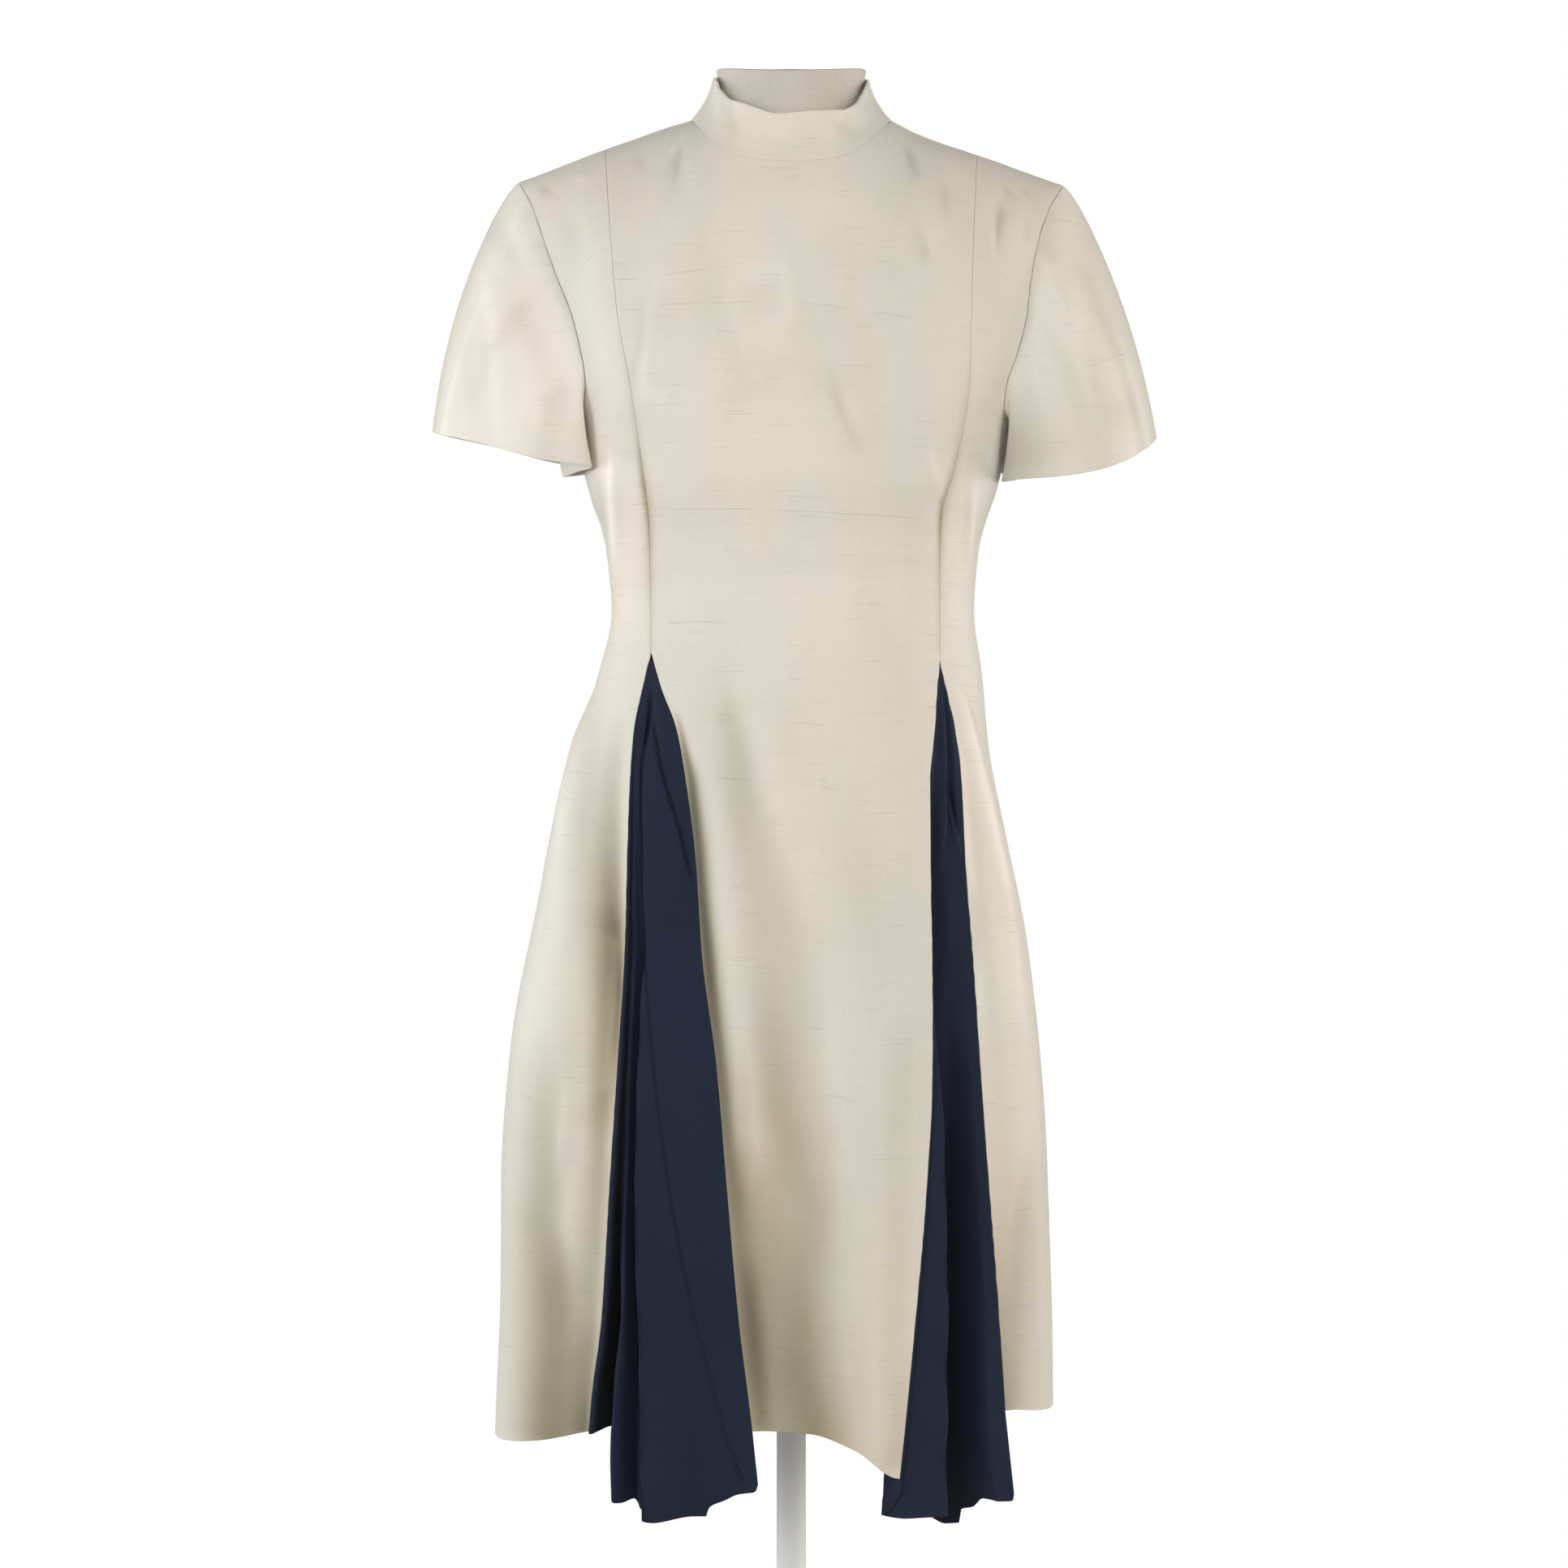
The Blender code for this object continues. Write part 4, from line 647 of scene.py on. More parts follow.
# %% [markdown]
# ## Materials
#
# Slub silk is woven from uneven thread: most of it is a fine crosswise rib, and here and there a
# thick place in the thread, a slub, makes a thin raised line a few centimetres long. Photographs of
# cloth would show this, but a photographed texture repeats and has its own light in it. Noise that
# is stretched along the thread gives the same look at any size and follows each piece's UV map.
#
# Shader sums are written as Python expressions: `Value` wraps a node's output, and +, -, * and
# abs() on it add Math nodes.

# %% Shader maths as Python expressions
class Value:
    """One output of a shader node, with Python's operators for Math nodes."""

    def __init__(self, finish, socket):
        self.finish, self.socket = finish, socket

    def maths(self, operation, *values):
        """A Math node on one or two values."""
        return self.finish.node("ShaderNodeMath", {"operation": operation}, dict(enumerate(values)))

    def __abs__(self):
        return self.maths("ABSOLUTE", self)

    def __add__(self, other):
        return self.maths("ADD", self, other)

    def __radd__(self, other):
        return self.maths("ADD", other, self)

    def __sub__(self, other):
        return self.maths("SUBTRACT", self, other)

    def __rsub__(self, other):
        return self.maths("SUBTRACT", other, self)

    def __mul__(self, other):
        return self.maths("MULTIPLY", self, other)

    def __rmul__(self, other):
        return self.maths("MULTIPLY", other, self)


# %% A material under construction
class Finish:
    """A material under construction: its node tree and its Principled shader."""

    def __init__(self, name, **constants):
        self.material = bpy.data.materials.new(name)
        self.material.use_nodes = True
        self.tree = self.material.node_tree
        self.shader = self.tree.nodes["Principled BSDF"]
        for socket, value in constants.items():
            self.shader.inputs[socket.replace("_", " ")].default_value = value

    def node(self, kind, settings=None, inputs=None, output=0):
        """Adds a node, sets its settings first, then the values or links of its sockets."""
        made = self.tree.nodes.new(kind)
        for key, value in (settings or {}).items():
            setattr(made, key, value)
        for key, value in (inputs or {}).items():
            self.join(value, made.inputs[key])
        return Value(self, made.outputs[output])

    def join(self, value, socket):
        """Links a node's output to a socket, or sets the socket to a constant."""
        if isinstance(value, Value):
            self.tree.links.new(value.socket, socket)
        else:
            socket.default_value = value

    def feed(self, socket, value):
        """Gives the Principled shader one of its inputs."""
        self.join(value, self.shader.inputs[socket])

    def stretched(self, where, scale, detail=2.0, roughness=0.5, flat=True):
        """Noise whose grain is stretched: the place is multiplied by a scale for each axis first."""
        place = self.node("ShaderNodeVectorMath", {"operation": "MULTIPLY"}, {0: where, 1: scale})
        return self.node("ShaderNodeTexNoise", {"noise_dimensions": "2D" if flat else "3D"},
                         {"Vector": place, "Scale": 1.0, "Detail": detail, "Roughness": roughness})

    def ramp(self, value, low, high):
        """0 below low, 1 above high and a smooth step between."""
        return self.node("ShaderNodeMapRange", {"interpolation_type": "SMOOTHSTEP"},
                         {"Value": value, "From Min": low, "From Max": high})

    def blend(self, share, first, second):
        """A colour between two others."""
        return self.node("ShaderNodeMix", {"data_type": "RGBA"}, {0: share, 6: first, 7: second}, 2)

    def scaled(self, colour, factor):
        """A colour made lighter or darker by a factor."""
        grey = self.node("ShaderNodeCombineXYZ", {}, {0: factor, 1: factor, 2: factor})
        return self.node("ShaderNodeVectorMath", {"operation": "MULTIPLY"}, {0: colour, 1: grey})

    def bump(self, height, distance, strength=1.0):
        """Fine relief: the surface seems to rise by the distance where the height is 1."""
        self.feed("Normal", self.node("ShaderNodeBump", {}, {"Height": height, "Distance": distance,
                                                             "Strength": strength}))


# %% [markdown]
# One number at each vertex, the painted shading, says how much darker the cloth is painted there,
# as shade in its folds and hollows, or, below 0, how much lighter, as a painted highlight. The
# shader darkens the silk by it, and turns painted shade towards yellow and a painted highlight
# towards white.

# %% Ivory slub silk
PAINTED_SHADE_YELLOWING = 1.6          # how much faster than painted shade darkens the silk it turns it yellow
PAINTED_HIGHLIGHT_WHITENING = 7.0         # how much faster than a painted highlight lightens the silk it turns it white
SLUBS = (                # thick threads of the front, each from x and z to x and z
    (-0.096, 1.289, -0.059, 1.293), (-0.129, 1.287, -0.112, 1.286), (-0.100, 1.266, -0.063, 1.267),
    (-0.063, 1.267, -0.026, 1.267), (-0.127, 1.264, -0.109, 1.262), (0.005, 1.267, 0.039, 1.263),
    (0.059, 1.260, 0.090, 1.256), (-0.089, 1.116, -0.024, 1.115), (-0.024, 1.115, 0.104, 1.109),
    (-0.096, 1.033, -0.045, 1.034), (-0.015, 0.886, -0.004, 0.884), (0.128, 0.640, 0.141, 0.642),
    (-0.214, 0.497, -0.203, 0.499), (0.220, 1.223, 0.255, 1.240))


def slub_lines(silk, place):
    """1 on the listed threads, which waver by half a millimetre: near in height to the line,
    between its ends, and in front."""
    parts = silk.node("ShaderNodeSeparateXYZ", {}, {0: place})
    x, y, z = (Value(silk, parts.socket.node.outputs[i]) for i in range(3))
    z = z + 0.0012 * silk.stretched(place, (90.0, 90.0, 0.0), detail=1.0) - 0.0006
    front = silk.ramp(0.0 - y, 0.0, 0.001)
    total = 0.0
    for x0, z0, x1, z1 in SLUBS:
        slope, half = (z1 - z0) / (x1 - x0), (x1 - x0) / 2
        off = abs(z - x * slope - (z0 - x0 * slope))
        end = abs(x - (x0 + x1) / 2)
        total = total + (1.0 - silk.ramp(off, 0.0001, 0.0006)) * (1.0 - silk.ramp(end, 0.7 * half, half))
    return total * front


def ivory_silk():
    """Fine ribs and slubs across the cloth, faint cooler and warmer clouds, a soft sheen, and
    the painted shade and highlights of each vertex.
    """
    silk = Finish("ivory_silk", IOR=1.45, Sheen_Weight=0.26, Sheen_Roughness=0.45)
    uv = silk.node("ShaderNodeUVMap", {"uv_map": "UVMap"})
    place = silk.node("ShaderNodeTexCoord", output=3)
    rib = silk.stretched(uv, (45.0, 1500.0, 0.0), detail=1.0)
    warp = silk.stretched(uv, (1300.0, 40.0, 0.0), detail=1.0)
    streak = silk.stretched(uv, (9.0, 260.0, 0.0), detail=3.0)
    slub = silk.ramp(silk.stretched(uv, (19.0, 760.0, 0.0), detail=1.5), 0.74, 0.80)
    cloud = silk.stretched(place, (14.0, 14.0, 5.0), detail=3.0, flat=False)
    line = slub_lines(silk, place)
    fleck = silk.stretched(place, (31.0, 31.0, 14.0), detail=2.0, flat=False)
    warmth = silk.ramp(cloud, 0.36, 0.64)
    colour = silk.blend(warmth, (0.714, 0.683, 0.597, 1.0), (0.748, 0.682, 0.576, 1.0))
    painted_shade_colour = silk.blend(warmth, (0.722, 0.632, 0.412, 1.0), (0.770, 0.632, 0.392, 1.0))
    painted_highlight_colour = (0.790, 0.738, 0.652, 1.0)
    # The slubs and the listed threads are raised by the bump, and drawn darker as painted shade beside their
    # raised line.
    shade = 0.955 + 0.06 * rib + 0.05 * warp + 0.045 * streak - 0.10 * slub - 0.09 * line - 0.08 * fleck
    # The painted shading of each vertex: painted shade darkens the silk and turns it yellow, a painted
    # highlight lightens it and turns it white.
    painted_shading = silk.node("ShaderNodeAttribute", {"attribute_name": "painted_shading"}, output=2)
    colour = silk.blend(-PAINTED_HIGHLIGHT_WHITENING * painted_shading, silk.blend(PAINTED_SHADE_YELLOWING * painted_shading, colour, painted_shade_colour), painted_highlight_colour)
    silk.feed("Base Color", silk.scaled(colour, shade * (1.0 - painted_shading)))
    silk.feed("Roughness", 0.50 + 0.10 * rib + 0.08 * streak)
    silk.bump(0.45 * rib + 0.25 * warp + 0.5 * streak + 0.8 * slub + 1.2 * line, 0.00025, 0.6)
    return silk.material


# %% [markdown]
# The godets are navy crepe: matte, with a fine pebbled grain and hardly any sheen. Grain that is
# only bump is enough here, because it is far smaller than a millimetre.

# %% Navy crepe
def navy_crepe():
    """Pebbled grain from fine noise, with a faint crosswise thread."""
    crepe = Finish("navy_crepe", IOR=1.4, Specular_IOR_Level=0.25, Sheen_Weight=0.035, Sheen_Roughness=0.6)
    uv = crepe.node("ShaderNodeUVMap", {"uv_map": "UVMap"})
    grain = crepe.stretched(uv, (900.0, 900.0, 0.0), detail=2.0)
    thread = crepe.stretched(uv, (60.0, 1100.0, 0.0), detail=1.0)
    cloud = crepe.stretched(uv, (9.0, 6.0, 0.0), detail=2.0)
    dark, light = (0.0095, 0.0135, 0.030, 1.0), (0.0145, 0.0210, 0.045, 1.0)
    # The painted shading of each vertex darkens the crepe as painted shade, or lightens it as a painted
    # highlight.
    painted_shading = crepe.node("ShaderNodeAttribute", {"attribute_name": "painted_shading"}, output=2)
    shade = (0.80 + 0.25 * grain + 0.15 * thread) * (1.0 - painted_shading)
    crepe.feed("Base Color", crepe.scaled(crepe.blend(cloud, dark, light), shade))
    crepe.feed("Roughness", 0.72 + 0.15 * grain)
    crepe.bump(0.7 * grain + 0.4 * thread, 0.0003, 0.7)
    return crepe.material


# %% [markdown]
# The form has a cover of plain woven cloth, the stand is painted, and the zip has a twill tape and
# metal parts. Their patterns are noises again, because these pieces hardly show: two crossed ones for
# the weave, a turned one for the twill's slant and a long one for the marks of a brush.

# %% The form's cover, the stand's paint and the zip
def form_cover():
    """A plain weave of soft threads, as two crossed noises."""
    cover = Finish("form_cover", IOR=1.4, Sheen_Weight=0.15, Sheen_Roughness=0.6)
    place = cover.node("ShaderNodeUVMap", {"uv_map": "UVMap"})
    weft = cover.stretched(place, (90.0, 1100.0, 0.0), detail=1.0)
    warp = cover.stretched(place, (1100.0, 90.0, 0.0), detail=1.0)
    cloud = cover.stretched(place, (10.0, 10.0, 0.0), detail=3.0)
    colour = cover.blend(cloud, (0.54, 0.50, 0.43, 1.0), (0.62, 0.575, 0.49, 1.0))
    cover.feed("Base Color", cover.scaled(colour, 0.88 + 0.12 * weft + 0.12 * warp))
    cover.feed("Roughness", 0.78 + 0.14 * weft)
    cover.bump(weft + warp, 0.0003, 0.6)
    return cover.material


def stand_paint():
    """Satin off-white paint with the faint ripple of a sprayed coat."""
    paint = Finish("stand_paint", Coat_Weight=0.15)
    place = paint.node("ShaderNodeTexCoord", output=3)
    ripple = paint.stretched(place, (420.0, 420.0, 420.0), detail=2.0, flat=False)
    dust = paint.stretched(place, (14.0, 14.0, 14.0), detail=4.0, flat=False)
    colour = paint.blend(dust, (0.80, 0.79, 0.765, 1.0), (0.84, 0.83, 0.81, 1.0))
    paint.feed("Base Color", colour)
    paint.feed("Roughness", 0.34 + 0.14 * dust)
    paint.bump(ripple, 0.00008, 0.5)
    return paint.material


def zip_tape_finish():
    """Twill of the tape: fine slanted lines."""
    tape = Finish("zip_tape")
    uv = tape.node("ShaderNodeUVMap", {"uv_map": "UVMap"})
    turned = tape.node("ShaderNodeMapping", {}, {"Vector": uv, "Rotation": (0.0, 0.0, 0.6)})
    twill = tape.stretched(turned, (200.0, 2200.0, 0.0), detail=1.0)
    colour = tape.blend(twill, (0.58, 0.54, 0.44, 1.0), (0.66, 0.62, 0.52, 1.0))
    tape.feed("Base Color", tape.scaled(colour, 1.0 * twill + 0.5))
    tape.feed("Roughness", 0.70 + 0.2 * twill)
    tape.bump(twill, 0.0002, 0.6)
    return tape.material


def zip_metal():
    """Satin nickel, brushed lengthwise and a little rubbed."""
    metal = Finish("zip_metal", Metallic=1.0)
    place = metal.node("ShaderNodeTexCoord", output=3)
    brush = metal.stretched(place, (9000.0, 500.0, 500.0), detail=2.0, flat=False)
    rub = metal.stretched(place, (420.0, 420.0, 420.0), detail=3.0, flat=False)
    metal.feed("Base Color", metal.blend(rub, (0.56, 0.54, 0.49, 1.0), (0.68, 0.66, 0.61, 1.0)))
    metal.feed("Roughness", 0.24 + 0.2 * brush + 0.1 * rub)
    metal.bump(brush, 0.00002, 0.5)
    return metal.material


SILK, CREPE = ivory_silk(), navy_crepe()
COVER, PAINT = form_cover(), stand_paint()
TAPE, METAL = zip_tape_finish(), zip_metal()
print("materials", [m.name for m in (SILK, CREPE, COVER, PAINT, TAPE, METAL)])

# %% [markdown]
# ## The front, the side fronts and the backs
#
# A panel lies between two edges. Each row of it keeps its share of the way round the section, the
# top row is lifted to the neckline and the shoulder, and the last rows turn to the hem. At a seam the
# real cloth rolls inwards to its stitches, so the last millimetre of every edge bends in: two such
# edges side by side make the thin shadow line of a seam.

# %% Rows and columns of a panel
CLOTH = 0.0012           # one layer of silk
TURN_UP = 0.0008         # what the turned-up hem adds inside
TURN_UP_HEIGHT = 0.040
SEAM_ROLL = 0.0006       # the radius at which an edge rolls in to its seam
RAW_ROLL = 0.0001        # the same at an edge that another piece covers
EDGE_STEPS = np.array([0.0, 0.0002, 0.0005, 0.0009, 0.0014, 0.0026])   # lines beside an edge, from it
FADE = 0.010             # creases die out this near to the shoulder, the armhole and the side seam
TOP_ROWS, LEVEL_ROWS, HEM_ROWS = 64, 190, 26
TOP_LENGTH, HEM_LENGTH = 0.19, 0.10      # about how long the top's rows and the hem's rows reach
MOST_PAINTED_SHADE = 0.85         # no place is darkened by painted shade by more than this share


def spread(count, near_start, near_end):
    """Places from 0 to 1: even in the middle, with extra places close to one or both ends."""
    low = near_start[-1] if len(near_start) else 0.0
    high = 1 - near_end[-1] if len(near_end) else 1.0
    middle = np.linspace(low, high, count)
    middle = middle[1:] if len(near_start) else middle
    middle = middle[:-1] if len(near_end) else middle
    return np.concatenate([near_start, middle, 1 - np.asarray(near_end)[::-1]])


# %% Stages of the rows
# Stage 0 to 1 is the top down to the underarm, 1 to 2 the level rows and 2 to 3 the hem.
STAGE = np.concatenate([spread(TOP_ROWS, EDGE_STEPS / TOP_LENGTH, [])[:-1],
                        1 + np.linspace(0, 1, LEVEL_ROWS)[:-1],
                        2 + spread(HEM_ROWS, [], EDGE_STEPS / HEM_LENGTH)])


def stages(roll_over):
    """The stage of every row and column. Where the cloth rolls over the shoulder its height hardly
    changes at first, so there a top stage is the square of the row's place, and the first rows, which
    bend in at the seam, lie closer still."""
    power = 1 + np.asarray(roll_over, float)[None, :]
    stage = STAGE[:, None]
    start = np.where((power > 1) & (stage < 0.05), stage / 3.2, stage)
    return np.where(stage < 1, start ** power, stage)


def stage_z(stage, top_z, hem_z):
    """Height of an edge at a stage: down to the underarm, down the levels, down to the hem."""
    part = [np.clip(stage - i, 0, 1) for i in range(3)]
    return (top_z - (top_z - UNDERARM_Z) * part[0] - (UNDERARM_Z - HEM_START_Z) * part[1]
            - (HEM_START_Z - hem_z) * part[2])


# %% Edges of a panel
def seam_edge(x_at, top_z, hem_z):
    """An edge as a function of the stage, with its x taken from its height."""
    def edge(stage):
        z = stage_z(stage, top_z, hem_z)
        return x_at(z), z
    return edge


def armhole_edge(side_name, hem_z):
    """Down the armhole to the underarm, then down the side seam."""
    def edge(stage):
        run = column(ARMHOLE_ROWS, "run", stage, "fraction")
        z = stage_z(stage, UNDERARM_Z, hem_z)
        upper = stage < 1
        x = np.where(upper, column(ARMHOLE, side_name, run, "run"), column(BODY, side_name, z))
        return SIGN[side_name] * x, np.where(upper, column(ARMHOLE, "z", run, "run"), z)
    return edge


def column_shares(width, spacing):
    """Column places as shares of a width, close together at both edges."""
    return spread(int(width / spacing), EDGE_STEPS / width, EDGE_STEPS / width)


def panel(first, last, shares, stage, side):
    """x and z of a panel between two edges, for every row and column."""
    (x0, z0), (x1, z1) = first(stage), last(stage)
    z = z0 + (z1 - z0) * shares
    start, end = angle_of(x0, z0), angle_of(x1, z1)
    angle = start + (end - start) * shares
    x = x_of(angle, z)
    z = z + (1 - np.clip(stage, 0, 1)) * (top_line(x[0], side) - z[0])
    z = z + np.clip(stage - 2, 0, 1) * (hem_line(x[-1], side) - z[-1])
    return x_of(angle, z), z


# %% Rolled edges, fades and thickness
def rolled(distance, radius):
    """How far an edge has bent in: a quarter circle over the last stretch before the edge."""
    near = np.clip(1 - distance / radius, 0, 1)
    return radius * (1 - np.sqrt(np.clip(1 - near ** 2, 0, 1)))


def eased(distance, reach):
    """0 at the edge, 1 from `reach` on, and a smooth step between."""
    t = np.clip(distance / reach, 0, 1)
    return t * t * (3 - 2 * t)


def cloth_area(points):
    """Sum of the cells' areas, each the cross product of two of its sides."""
    return float(np.sum(np.linalg.norm(np.cross(points[1:, :-1] - points[:-1, :-1],
                                                points[:-1, 1:] - points[:-1, :-1]), axis=-1)))


def cloth_depths(roll, hem, from_hem, turn_up_height, crease):
    """Depths of the outer and the inner face: edges bend in, the hem is doubled inside, and a crease
    moves both faces out."""
    thickness = CLOTH + TURN_UP * (1 - eased(from_hem - turn_up_height, 0.003))
    bent = np.maximum(roll, hem)
    return bent - crease, np.maximum(thickness - hem, bent + 0.0002) - crease


# %% One body piece
def silk_panel(name, first, last, shares, roll_over, side, seams):
    """A body piece: the plain surface, its creases, puckers by its seams, rolled edges, a turn-up.
    `seams` gives, for the first and last edge, how much of a crease crosses it and its pucker."""
    stage = stages(roll_over)
    x, z = panel(first, last, shares[None, :], stage, side)
    plain = on_body(x, z, side)
    points = plain.copy()
    points[:, :, 1] = side * np.maximum(side * points[:, :, 1], SEAM_GAP / 2)
    for end, inside in ((0, 3), (-1, -4)):          # each edge draws back by half the gap
        points[:, end] += unit(points[:, inside] - points[:, end]) * SEAM_GAP / 2
    normal = body_normal(plain, side)
    from_first, from_last, from_top, from_hem = edge_distances(points)
    crease = relief(x, z, FRONT_CREASES if side < 0 else BACK_CREASES) + slack(x, z, side)
    for (keep, _), distance in zip(seams, (from_first, from_last)):
        crease = crease * (keep + (1 - keep) * eased(distance, FADE))
    crease = crease * eased(from_top, FADE)
    for (_, wave), distance in zip(seams, (from_first, from_last)):
        crease = crease + pucker(z, distance, wave) * eased(from_top, FADE)
    # Painted shade in the creases' troughs and painted highlights on their ridges, and in front the listed
    # strokes of painted shade and highlights.
    painted_shading = painted_fold_shading(crease) + (relief(x, z, FRONT_PAINTED_SHADING) if side < 0 else 0)
    roll = np.maximum(rolled(np.minimum(from_first, from_last), SEAM_ROLL), rolled(from_top, RAW_ROLL))
    depths = cloth_depths(roll, rolled(from_hem, SEAM_ROLL), from_hem, TURN_UP_HEIGHT, crease)
    above = running(plain, 0) - (z[0] - z)
    v = z - above + above[np.argmax(STAGE >= 1)]
    u = running(points, 1)
    u = u - u.mean(axis=1, keepdims=True) + 3.7 * len(name) + seams[0][1]   # its own bit of the weave
    piece = shell(name + "_silk", points, normal, *depths, np.stack([u, v], -1), SILK, "ivory_silk",
                  painted_shading=np.minimum(painted_shading, MOST_PAINTED_SHADE))
    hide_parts(name)
    print(name, x.shape, "rows and columns,", round(float(from_first[:, -1].max()), 3), "m wide,",
          round(float(from_top[-1].max()), 3), "m long, area", round(cloth_area(points), 4))
    return piece, points + normal * crease[:, :, None]


# %% The five silk body pieces
def front_edge(side_name, which, edges):
    """The long seam above the godet's apex, the godet's edge below it."""
    def x_at(z):
        return np.where(z > APEX_Z, column(PRINCESS, side_name, z), column(edges, which, z))
    return x_at


def silk_edge(side_name, which):
    """The long seam's edge of the front piece or of the side front, from the shoulder to the hem."""
    edges = LEFT_GODET_EDGES if side_name == "left" else RIGHT_GODET_EDGES
    hem_x = HEM_X[side_name]["front" if which == "front" else "godet"]
    return seam_edge(front_edge(side_name, which, edges), shoulder_z(PRINCESS[side_name][-1]),
                     hem_line(hem_x, -1))


def over_shoulder(x_top):
    """1 where a column starts on the shoulder line, 0 where it starts low on the neckline."""
    return eased(np.abs(x_top) - 0.020, NECK_HALF_WIDTH - 0.020)


cloth = {}                # each piece of cloth by name
surface = {}              # its outside, as rows and columns of points
shares = column_shares(0.27, 0.0030)
ends = (PRINCESS["left"][-1], PRINCESS["right"][-1])
front_tops = ends[0] + (ends[1] - ends[0]) * shares
cloth["front_center"], surface["front_center"] = silk_panel(
    "front_center", silk_edge("left", "front"), silk_edge("right", "front"), shares,
    over_shoulder(front_tops), -1, ((0.7, 1.0), (0.7, 2.0)))
for side_name, wave in (("left", 1.0), ("right", 2.0)):
    name = "side_front_" + side_name
    shares = column_shares(0.11, 0.0030)
    cloth[name], surface[name] = silk_panel(
        name, silk_edge(side_name, "side"), armhole_edge(side_name, hem_line(HEM_X[side_name]["side"], -1)),
        shares, np.ones(len(shares)), -1, ((0.7, wave), (0.0, wave + 2)))
for side_name, sign in SIGN.items():
    name = "back_" + side_name
    shares = column_shares(0.27, 0.0040)
    centre = seam_edge(lambda z, s=sign: s * 1e-5 + 0 * z, NECK_BACK_Z, hem_line(0.0, 1))
    cloth[name], surface[name] = silk_panel(
        name, centre, armhole_edge(side_name, hem_line(HEM_X[side_name]["side"], 1)),
        shares, over_shoulder(0.206 * shares), 1, ((0.0, 5.0), (0.0, 4.0 if sign > 0 else 3.0)))

# %% [markdown]
# ## The collar
#
# The collar is one band of silk, folded double along its top edge, that stands on the neckline and
# leans in to the neck. A band drawn out of the neckline would stand like a tube. Here its foot is the
# neckline's own curve, its top edge has a table of its own, and the fold is a half circle between
# the outer and inner layer, so no cut edge shows. The photograph shows two soft corners in front.

# %% Collar
COLLAR_CLOTH = 0.0022    # two layers
COLLAR_RADIUS = 0.064    # turns an angle into a width, so that a crease is as wide as it says
COLLAR_HEIGHT = 0.036
COLLAR_CREASES = strokes(     # turn in degrees, share of the collar's height, width and height in mm
    (-62, 1.02, 4, 1.6,  -57, 0.72, 5, 2,  -52, 0.4, 7, 1.2,  -47, 0.1, 8, 0),
    (-48, 1, 5, -1,  -44, 0.6, 6, -1.2,  -38, 0.2, 7, 0),
    (36, 1.02, 4, 1,  38, 0.66, 5, -1.4,  41, 0.2, 6, 0),
    (50, 1, 6, 1.2,  54, 0.55, 7, 1.6,  60, 0.12, 7, 0),
    (-86, 0.9, 6, 0,  -80, 0.5, 7, -1,  -74, 0.1, 7, 0),
    (84, 0.86, 6, 0,  78, 0.48, 7, -1,  72, 0.12, 7, 0),
    (-120, 0.95, 7, 0,  -128, 0.5, 8, -0.9,  -134, 0.1, 8, 0),
    (118, 0.92, 7, 0,  127, 0.5, 8, -0.9,  136, 0.1, 8, 0),
    scale=(np.radians(1) * COLLAR_RADIUS, COLLAR_HEIGHT, 0.001, 0.001))


# %% The collar's foot, top edge and creases
def neck_base():
    """The neckline all round, from the left back's centre edge over the front to the right back's."""
    start = 1e-5 + SEAM_GAP / 2
    even = np.linspace(start + EDGE_STEPS[-1], NECK_HALF_WIDTH, 34)
    back = np.concatenate([start + EDGE_STEPS[:-1], even[:-1]])
    front = np.sin(np.linspace(-np.pi / 2, np.pi / 2, 76)) * NECK_HALF_WIDTH
    x = np.concatenate([-back, front, back[::-1]])
    side = np.concatenate([1 + 0 * back, -1 + 0 * front, 1 + 0 * back])
    rows = [on_body(x, neckline_z(x, s), s) for s in (-1, 1)]
    base = np.where((side < 0)[:, None], rows[0], rows[1])
    base[:, 2] += COLLAR_GAP
    return base


base = neck_base()
turn = np.degrees(np.arctan2(base[:, 0], -base[:, 1]))
around = np.abs(turn)
top = np.stack([np.sign(turn) * column(COLLAR_TOP, "x", around, "angle"),
                column(COLLAR_TOP, "y", around, "angle"),
                np.where(turn < 0, column(COLLAR_TOP, "left", around, "angle"),
                         column(COLLAR_TOP, "right", around, "angle"))], axis=-1)
top[0, 0], top[-1, 0] = base[0, 0], base[-1, 0]
rise = spread(18, EDGE_STEPS[:4] / COLLAR_HEIGHT, EDGE_STEPS / COLLAR_HEIGHT)[:, None]
points = base + (top - base) * rise[:, :, None]
outward = unit(base * (1, 1, 0))
points = points + outward * COLLAR_BELLY * np.sin(np.pi * rise)[:, :, None]
along = np.gradient(points, axis=1)
along[:, 0] = along[:, -1] = (1.0, 0, 0)
level = np.cross(along, (0.0, 0.0, 1.0))
normal = unit(level) * np.sign(np.sum(level * points, axis=-1, keepdims=True))
crease = relief(np.radians(turn) * COLLAR_RADIUS + 0 * rise, rise * COLLAR_HEIGHT + 0 * turn, COLLAR_CREASES)
crease = crease + 0.0003 * np.sin(turn * 0.21 + 3 * rise) * np.sin(np.pi * np.clip(rise, 0, 1))
from_first, from_last, from_foot, from_fold = edge_distances(points)
crease = crease * eased(from_first, FADE) * eased(from_last, FADE) * eased(from_foot, 0.006)
fold = rolled(from_fold, COLLAR_CLOTH / 2)
foot = rolled(from_foot, RAW_ROLL)
end = rolled(np.minimum(from_first, from_last), COLLAR_CLOTH / 2)
outer_depth = np.maximum.reduce([fold, foot, end]) - crease
inner_depth = COLLAR_CLOTH - np.maximum(fold, end) - crease
inner_depth = np.maximum(inner_depth, outer_depth + 0.00005)
